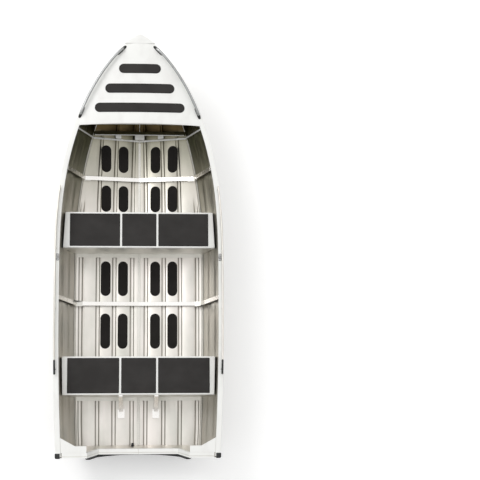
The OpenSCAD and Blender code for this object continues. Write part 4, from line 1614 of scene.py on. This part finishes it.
@dataclass(frozen=True)
class Frames:
    """Pressed frames across the hull, with the knees that tie them to the chines."""

    form: HullForm
    forward_y: float = 0.682
    middle_y: float = -0.445
    deck_frame_y: float = 1.022
    height: float = 0.030
    flange: float = 0.036
    knee_reach: float = 0.085
    knee_fold: float = 0.022
    knee_t: float = 0.0026
    tab_sizes: tuple[Point, ...] = ((-0.19, 0.05, 0.03), (0.19, 0.05, 0.03), (0.0, 0.084, 0.046))
    tab_h: float = 0.022
    edge_r: float = 0.004

    def knees(self, name: str, y: float) -> None:
        """Makes the folded knee plates over the chine ends of a frame.

        Args:
            name: The frame's name, for the pieces.
            y: Fore face of the frame.
        """
        form = self.form
        shape = Shape()
        for sign in (-1, 1):
            x = form.wall_x(y, form.chine_z(y) + 0.05)
            z = form.floor_z(x, y) + self.height
            foot, top = x - self.knee_reach, z + self.knee_reach
            low = (foot, form.floor_z(foot, y) + self.height + 0.001)
            bend = (x - self.knee_fold, z + 0.001)
            high = (form.wall_x(y, top) - 0.030, top)
            line = [low, bend, high]
            width = self.flange + 0.006
            rings = []
            for v in (0.001, -0.002, -width + 0.002, -width - 0.001):
                rings.append([(sign * u, y + v, w) for u, w in line]
                             + [(sign * (u - 0.0006), y + v, w + self.knee_t)
                                for u, w in reversed(line)])
            shape.loft(rings)
        piece(f"{name}_knees", shape, FRAME_METAL, sharp=30, bevel=0.0008)

    def tabs(self) -> None:
        """Makes the centre bracket and the two blocks between the deck frame and the sill."""
        form = self.form
        y0 = self.deck_frame_y + 0.006
        shape = Shape()
        for x, width, length in self.tab_sizes:
            outline = fillet([(-width / 2, 0), (width / 2, 0), (width / 2, length),
                              (-width / 2, length)], 0.006)

            def place(u: float, v: float, w: float, at: float = x) -> Point:
                """Stands a point of a tab's drawing on the floor."""
                return (at + u, y0 + v, form.floor_z(at + u, y0 + v) + w)

            shape.slab(outline, 0.0005, self.tab_h, 0.002, place)
        piece("deck_frame_tabs", shape, WHITE_COAT, sharp=40)

    def sill_edge(self) -> None:
        """Makes the rolled edge of the sill's shelf."""
        low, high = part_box("deck_sill")
        half = high.x - 0.012
        path = [(x, low.y + 0.002, high.z + 0.001) for x in spread(-half, half, 9)]
        piece("deck_sill_edge", Shape().tube(path, self.edge_r, 10), WHITE_COAT)

    def build(self) -> None:
        """Dresses the frames and adds their knees."""
        for name in ("forward_frame", "middle_frame"):
            dress_node(name, BAR_METAL, 0.001)
        dress_node("deck_frame", WHITE_COAT, 0.001)
        # the sill under the foredeck takes the side plates' painted shade
        dress_node("deck_sill", SHADED_SIDE_METAL, 0.001)
        self.sill_edge()
        self.knees("forward_frame", self.forward_y)
        self.knees("middle_frame", self.middle_y)
        self.tabs()


@dataclass(frozen=True)
class Seat:
    """A bench seat: a folded tray on two panels, with three foam pads."""

    form: HullForm
    name: str
    aft: float
    fore: float
    height: float
    lip: float = 0.038
    plate_t: float = 0.0025
    side_gap: float = 0.014
    pad_t: float = 0.006
    middle_half: float = 0.1495
    outer_from: float = 0.167
    pad_edge: float = 0.014
    pad_end: float = 0.040

    def end(self, y: float) -> float:
        """Half width of the seat."""
        return self.form.wall_x(y, self.height) - self.side_gap

    def tray(self) -> None:
        """Makes the folded tray with rounded edges and open underside."""
        a, f = self.aft, self.fore
        corners = [(-self.end(a), a), (self.end(a), a), (self.end(f), f), (-self.end(f), f)]
        outline = fillet(corners, 0.008)
        z, t, r = self.height, self.plate_t, 0.006
        turns = [math.pi / 2 * k / 5 for k in range(6)]
        profile = [(t + 0.004, z - t), (t + 0.001, z - t - 0.002), (t, z - t - 0.006),
                   (t, z - self.lip), (0.0, z - self.lip)]
        profile += [(r * (1 - math.cos(q)), z - r * (1 - math.sin(q))) for q in turns]
        rings = [[(u, v, h) for u, v in inset(outline, d)] for d, h in profile]
        piece(f"{self.name}_tray", Shape().loft(rings), WHITE_COAT, [self.name], sharp=45)

    def pads(self) -> None:
        """Makes the three foam pads."""
        a, f = self.aft + self.pad_edge, self.fore - self.pad_edge
        end = min(self.end(self.aft), self.end(self.fore)) - self.pad_end
        m, s = self.middle_half, self.outer_from
        shapes = {
            "middle": [(-m, a), (m, a), (m, f), (-m, f)],
            "starboard": [(s, a), (end, a), (end, f), (s, f)],
            "port": [(-end, a), (-s, a), (-s, f), (-end, f)],
        }
        low = self.height + SEAT_GAP
        for word, corners in shapes.items():
            shape = Shape().slab(fillet(corners, 0.007), low, low + self.pad_t, 0.005, flat_place,
                                 rings=5, crown=0.0006, run=0.006)
            made = piece(f"{self.name}_foam_{word}", shape, FOAM, [f"{self.name}_pads"], sharp=60)

    def build(self) -> None:
        """Makes the seat and dresses its panels."""
        self.tray()
        self.pads()
        dress_node(f"{self.name}_frame", FRAME_METAL, 0.0008)


@dataclass(frozen=True)
class FloorFoam:
    """Foam pads glued between the strakes."""

    form: HullForm
    bays: tuple[Flat, ...] = ((0.729, 0.964), (0.373, 0.610), (-0.390, -0.077), (-0.862, -0.548))
    across: Flat = (0.144, 0.298)
    width: float = 0.088
    pad_t: float = 0.006

    def build(self) -> None:
        """Makes the sixteen pads, two a side in each bay."""
        form = self.form
        for i, (aft, fore) in enumerate(self.bays):
            for x0 in (-self.across[1], -self.across[0], self.across[0], self.across[1]):

                def place(u: float, v: float, w: float, x: float = x0,
                          y: float = (aft + fore) / 2) -> Point:
                    """Lays a point of a pad's drawing on the floor."""
                    return (x + u, y + v, form.floor_z(x + u, y + v) + 2 * SEAT_GAP + w)

                shape = Shape().slab(stadium(fore - aft, self.width, False), 0, self.pad_t, 0.005,
                                     place, rings=4, crown=0.0004, run=0.009)
                side = Side.PORT if x0 < 0 else Side.STARBOARD
                word = "inner" if abs(x0) == self.across[0] else "outer"
                made = piece(f"floor_foam_{i + 1}_{side.word}_{word}", shape, SHADED_FLOOR_FOAM,
                             ["floor_pads"], sharp=60)


# --- transom ------------------------------------------------------------------------


@dataclass(frozen=True)
class Transom:
    """Transom plate, its capping, corner knees and caps, motor pad, doublers and drain bung."""

    form: HullForm
    shell: HullShell
    cut_depth: float = 0.160
    cut_w: Flat = (0.672, 0.862)
    cap_w: float = 0.046
    pad_clear: float = 0.026
    pad_t: Flat = (0.012, 0.034)
    pad_h: float = 0.150
    pad_hollow: float = 2.2
    pad_r: float = 0.004
    foot_out: float = 0.060
    wing_share: float = 0.62
    wing_w: Flat = (0.030, 0.046)
    wing_slant: float = 0.060
    ridge_r: float = 0.0022
    ridge_at: float = 0.36
    joint_r: float = 0.0018

    def top(self, drop: float) -> list[Flat]:
        """Corners of the cut-out, lowered by a distance square to its edges.

        Args:
            drop: The distance.

        Returns:
            Half width and height of the upper and the lower corner.
        """
        form = self.form
        slope = math.atan(self.cut_depth / ((self.cut_w[1] - self.cut_w[0]) / 2))
        out = drop * math.tan(slope / 2)
        return [(self.cut_w[1] / 2 + out, form.side_height - drop),
                (self.cut_w[0] / 2 + out, form.side_height - self.cut_depth - drop)]

    def sheet(self) -> None:
        """Makes the transom plate, painted outside and bare inside."""
        form = self.form
        lift = form.transom_t * math.sin(form.rake) + SEAT_GAP
        half = [(x, z + lift) for x, z in self.shell.bottom_row(form.transom_foot)[1:]]
        aft = form.transom_foot - form.rake_tan * (form.side_height - form.inner_lip) + 0.001
        half.append((form.plate_top_x(aft), form.side_height - form.cap_t - SEAT_GAP))
        half += self.top(form.cap_t + SEAT_GAP)
        outline = [(x, form.slope_up(z)) for x, z in half]
        outline += [(-x, v) for x, v in reversed(outline)]
        rings = [[form.on_transom(u, v, out) for u, v in outline]
                 for out in (SEAT_GAP, SEAT_GAP + form.transom_t)]
        piece("transom_sheet", Shape().loft(rings), BLACK_COAT, ["transom_plate"], sharp=30,
              inner=HULL_METAL)

    def aft_edge(self, z: float) -> float:
        """Place of the capping's aft edge at a height.

        Args:
            z: The height.

        Returns:
            Its place along Y.
        """
        form = self.form
        out = (form.transom_t + 2 * SEAT_GAP + form.cap_t) / math.cos(form.rake)
        return form.transom_foot - form.rake_tan * z - out

    def cap_lines(self) -> None:
        """Makes the rolled line along the capping and the welded joint in its middle."""
        form = self.form
        corners = [(form.gunwale_point(self.aft_edge(form.side_height), form.gunwale_w, 0)[0],
                    form.side_height), *self.top(0)]
        full = [(-x, z) for x, z in corners] + corners[::-1]
        in_by, up = self.cap_w * self.ridge_at, self.ridge_r * 0.3
        path = [(x, self.aft_edge(z) + in_by, z + up) for x, z in full]
        shape = Shape().tube(path, self.ridge_r, 8)
        z = corners[-1][1]
        y = self.aft_edge(z)
        joint = [(0.0, y + self.cap_w * t, z + 0.0002) for t in (0.02, 0.5, 0.98)]
        shape.tube(joint, self.joint_r, 8)
        piece("transom_cap_lines", shape, FRAME_METAL)

    def pad(self) -> None:
        """Makes the motor pad, hollowed on its outside and thickest under the cut-out's ends."""
        form = self.form
        (x1, z1), (x0, z0) = self.top(self.pad_clear)
        slope = (x1 - x0) / (z1 - z0)
        wing = self.wing_share * self.cut_depth
        low = z0 - self.pad_h
        ear = x0 + slope * wing
        flat_end, tip = ear + self.wing_w[0], ear + self.wing_w[1]
        tip_z = z0 + wing - self.wing_slant
        tops = [(0.0, z0), (x0, z0), (ear, z0 + wing), (flat_end, z0 + wing), (tip, tip_z)]
        feet = [(0.0, low), (x0 + self.foot_out, low), (tip, tip_z - 0.001)]

        def along(line: Sequence[Flat], x: float) -> float:
            """Height of a line of straight runs.

            Args:
                line: Its corners, as X and height.
                x: Place across the boat.

            Returns:
                The height there.
            """
            for (a, u), (b, v) in zip(line, line[1:]):
                if x <= b:
                    return lerp(u, v, (x - a) / (b - a))
            return line[-1][1]

        stops = sorted({*spread(0, x0, 13), *spread(x0, x0 + self.foot_out, 4)[1:], ear,
                        ear + self.wing_w[0] / 2, flat_end, tip})
        rings = []
        for x in [-v for v in reversed(stops[1:])] + stops:
            share = clamp(abs(x) / x0)
            back = form.transom_t + 2 * SEAT_GAP
            thick = lerp(*self.pad_t, share**self.pad_hollow)
            high, foot = along(tops, abs(x)), along(feet, abs(x))
            r = min(self.pad_r, (high - foot) * 0.3)
            rings.append([form.on_transom(x, form.slope_up(z), back + out) for z, out in
                          ((foot, 0), (high, 0), (high, thick - r), (high - r, thick),
                           (foot + r, thick), (foot, thick - r))])
        piece("motor_pad_block", Shape().loft(rings), PLASTIC, ["motor_pad"], sharp=40)

    def build(self) -> None:
        """Makes the transom's sheet, pad and lines, and dresses the other pieces."""
        self.sheet()
        self.cap_lines()
        self.pad()
        dress_node("transom_doublers", HULL_METAL, 0.0006)
        dress_node("transom_cap", WHITE_COAT, 0.0012)
        for side in Side:
            dress_node(f"transom_knee_{side.word}", WHITE_COAT, 0.0008)
            dress_node(f"corner_cap_{side.word}", PLASTIC, 0.0012)
            dress_node(f"seat_stay_{side.word}", BAR_METAL, 0.0015)
        dress_node("drain_bung", PLASTIC, 0.001)


# --- studio -------------------------------------------------------------------------


@dataclass(frozen=True)
class Studio:
    """Pale floor, soft light and the camera."""

    camera_at: Point = (0.0, -2.015, 12.5)
    aim: Point = (0.8757, 0.041, 0.5)
    roll: float = math.radians(0.45)
    view_angle: float = math.radians(19.44)
    floor_half: float = 40.0
    zenith: str = "#FFFFFF"
    horizon: str = "#8E908B"
    aft_share: float = 0.35
    floor_lift: float = 0.25
    paper: str = "#FBFBFB"
    lamp_power: float = 200.0
    lamp_size: float = 5.0
    lamp_at: Point = (-4.5, 3.0, 7.0)
    lamp_aim: Point = (0.0, 0.0, 0.3)

    def floor(self) -> None:
        """Makes the floor, a wide plane just under the keel."""
        half = self.floor_half
        mesh = bpy.data.meshes.new("studio_floor")
        corners = [(-half, -half, 0), (half, -half, 0), (half, half, 0), (-half, half, 0)]
        mesh.from_pydata(corners, [], [(0, 1, 2, 3)])
        paper = bpy.data.materials.new("studio_floor_paper")
        paper.use_nodes = True
        shader = paper.node_tree.nodes["Principled BSDF"]
        shader.inputs["Base Color"].default_value = linear(self.paper)
        shader.inputs["Roughness"].default_value = 0.9
        shader.inputs["Specular IOR Level"].default_value = 0.2
        self.lift(paper.node_tree, shader)
        mesh.materials.append(paper)
        floor = bpy.data.objects.new("studio_floor", mesh)
        bpy.context.scene.collection.objects.link(floor)
        floor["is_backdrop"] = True

    def lift(self, tree: bpy.types.NodeTree, shader: bpy.types.Node) -> None:
        """Lifts the floor towards white where it is seen, and lights nothing with it.

        Args:
            tree: The material's tree.
            shader: Its surface shader.
        """
        path = add_node(tree, "LightPath")
        total = path.outputs["Is Camera Ray"]
        for word in ("Is Glossy Ray", "Is Transmission Ray"):
            links = {0: total, 1: path.outputs[word]}
            total = add_node(tree, "Math", {"operation": "ADD"}, links).outputs[0]
        scale = {"operation": "MULTIPLY", 1: self.floor_lift}
        amount = add_node(tree, "Math", scale, {0: total})
        shader.inputs["Emission Color"].default_value = (1.0, 1.0, 1.0, 1.0)
        tree.links.new(amount.outputs[0], shader.inputs["Emission Strength"])

    def world(self) -> None:
        """Makes the sky dome, light overhead, greyer to the horizon and dark behind the stern."""
        world = bpy.data.worlds.new("studio_dome")
        bpy.context.scene.world = world
        world.use_nodes = True
        tree = world.node_tree
        at = add_node(tree, "TexCoord")
        parts = add_node(tree, "SeparateXYZ", {}, {"Vector": at.outputs["Generated"]})
        ramp = [(0.0, self.horizon), (0.75, self.zenith)]
        sky = add_node(tree, "ValToRGB", {"ramp": ramp}, {"Fac": parts.outputs["Z"]})
        limits = {"From Min": -0.95, "From Max": -0.2, "To Min": self.aft_share, "To Max": 1.0}
        aft = add_node(tree, "MapRange", limits, {"Value": parts.outputs["Y"]})
        background = tree.nodes["Background"]
        tree.links.new(sky.outputs["Color"], background.inputs["Color"])
        tree.links.new(aft.outputs[0], background.inputs["Strength"])

    def lamps(self) -> None:
        """Makes a wide soft lamp over the boat's port bow."""
        lamp = bpy.data.lights.new("soft_lamp", "AREA")
        lamp.shape = "DISK"
        lamp.size = self.lamp_size
        lamp.energy = self.lamp_power
        made = bpy.data.objects.new("soft_lamp", lamp)
        made.location = self.lamp_at
        aim = Vector(self.lamp_aim) - made.location
        made.rotation_euler = aim.to_track_quat("-Z", "Y").to_euler()
        bpy.context.scene.collection.objects.link(made)

    def camera(self) -> None:
        """Makes the camera, above and a little behind the boat, with the bow at the top."""
        lens = bpy.data.cameras.new("camera")
        lens.angle = self.view_angle
        lens.clip_end = 200.0
        made = bpy.data.objects.new("camera", lens)
        back = (Vector(self.camera_at) - Vector(self.aim)).normalized()
        up = Vector((math.sin(self.roll), math.cos(self.roll), 0))
        right = up.cross(back).normalized()
        turn = Matrix((right, back.cross(right), back)).transposed()
        made.matrix_world = Matrix.Translation(self.camera_at) @ turn.to_4x4()
        bpy.context.scene.collection.objects.link(made)
        bpy.context.scene.camera = made

    def build(self) -> None:
        """Makes the studio."""
        bpy.context.scene.view_settings.view_transform = "Standard"
        self.floor()
        self.world()
        self.lamps()
        self.camera()


def main() -> None:
    """Builds the boat, one sub-assembly after another."""
    logging.basicConfig(level=logging.INFO, format="%(name)s: %(message)s")
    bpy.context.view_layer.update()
    form = HullForm.from_frame()
    Studio().build()
    shell = HullShell(form)
    shell.build()
    Gunwales(form).build()
    Bow(form).build()
    Frames(form).build()
    seat_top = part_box("forward_seat")[1].z
    for name in ("forward_seat", "aft_seat"):
        low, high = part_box(name)
        Seat(form, name, low.y, high.y, seat_top).build()
    FloorFoam(form).build()
    Transom(form, shell).build()
    bpy.context.view_layer.update()


if __name__ == "__main__":
    main()
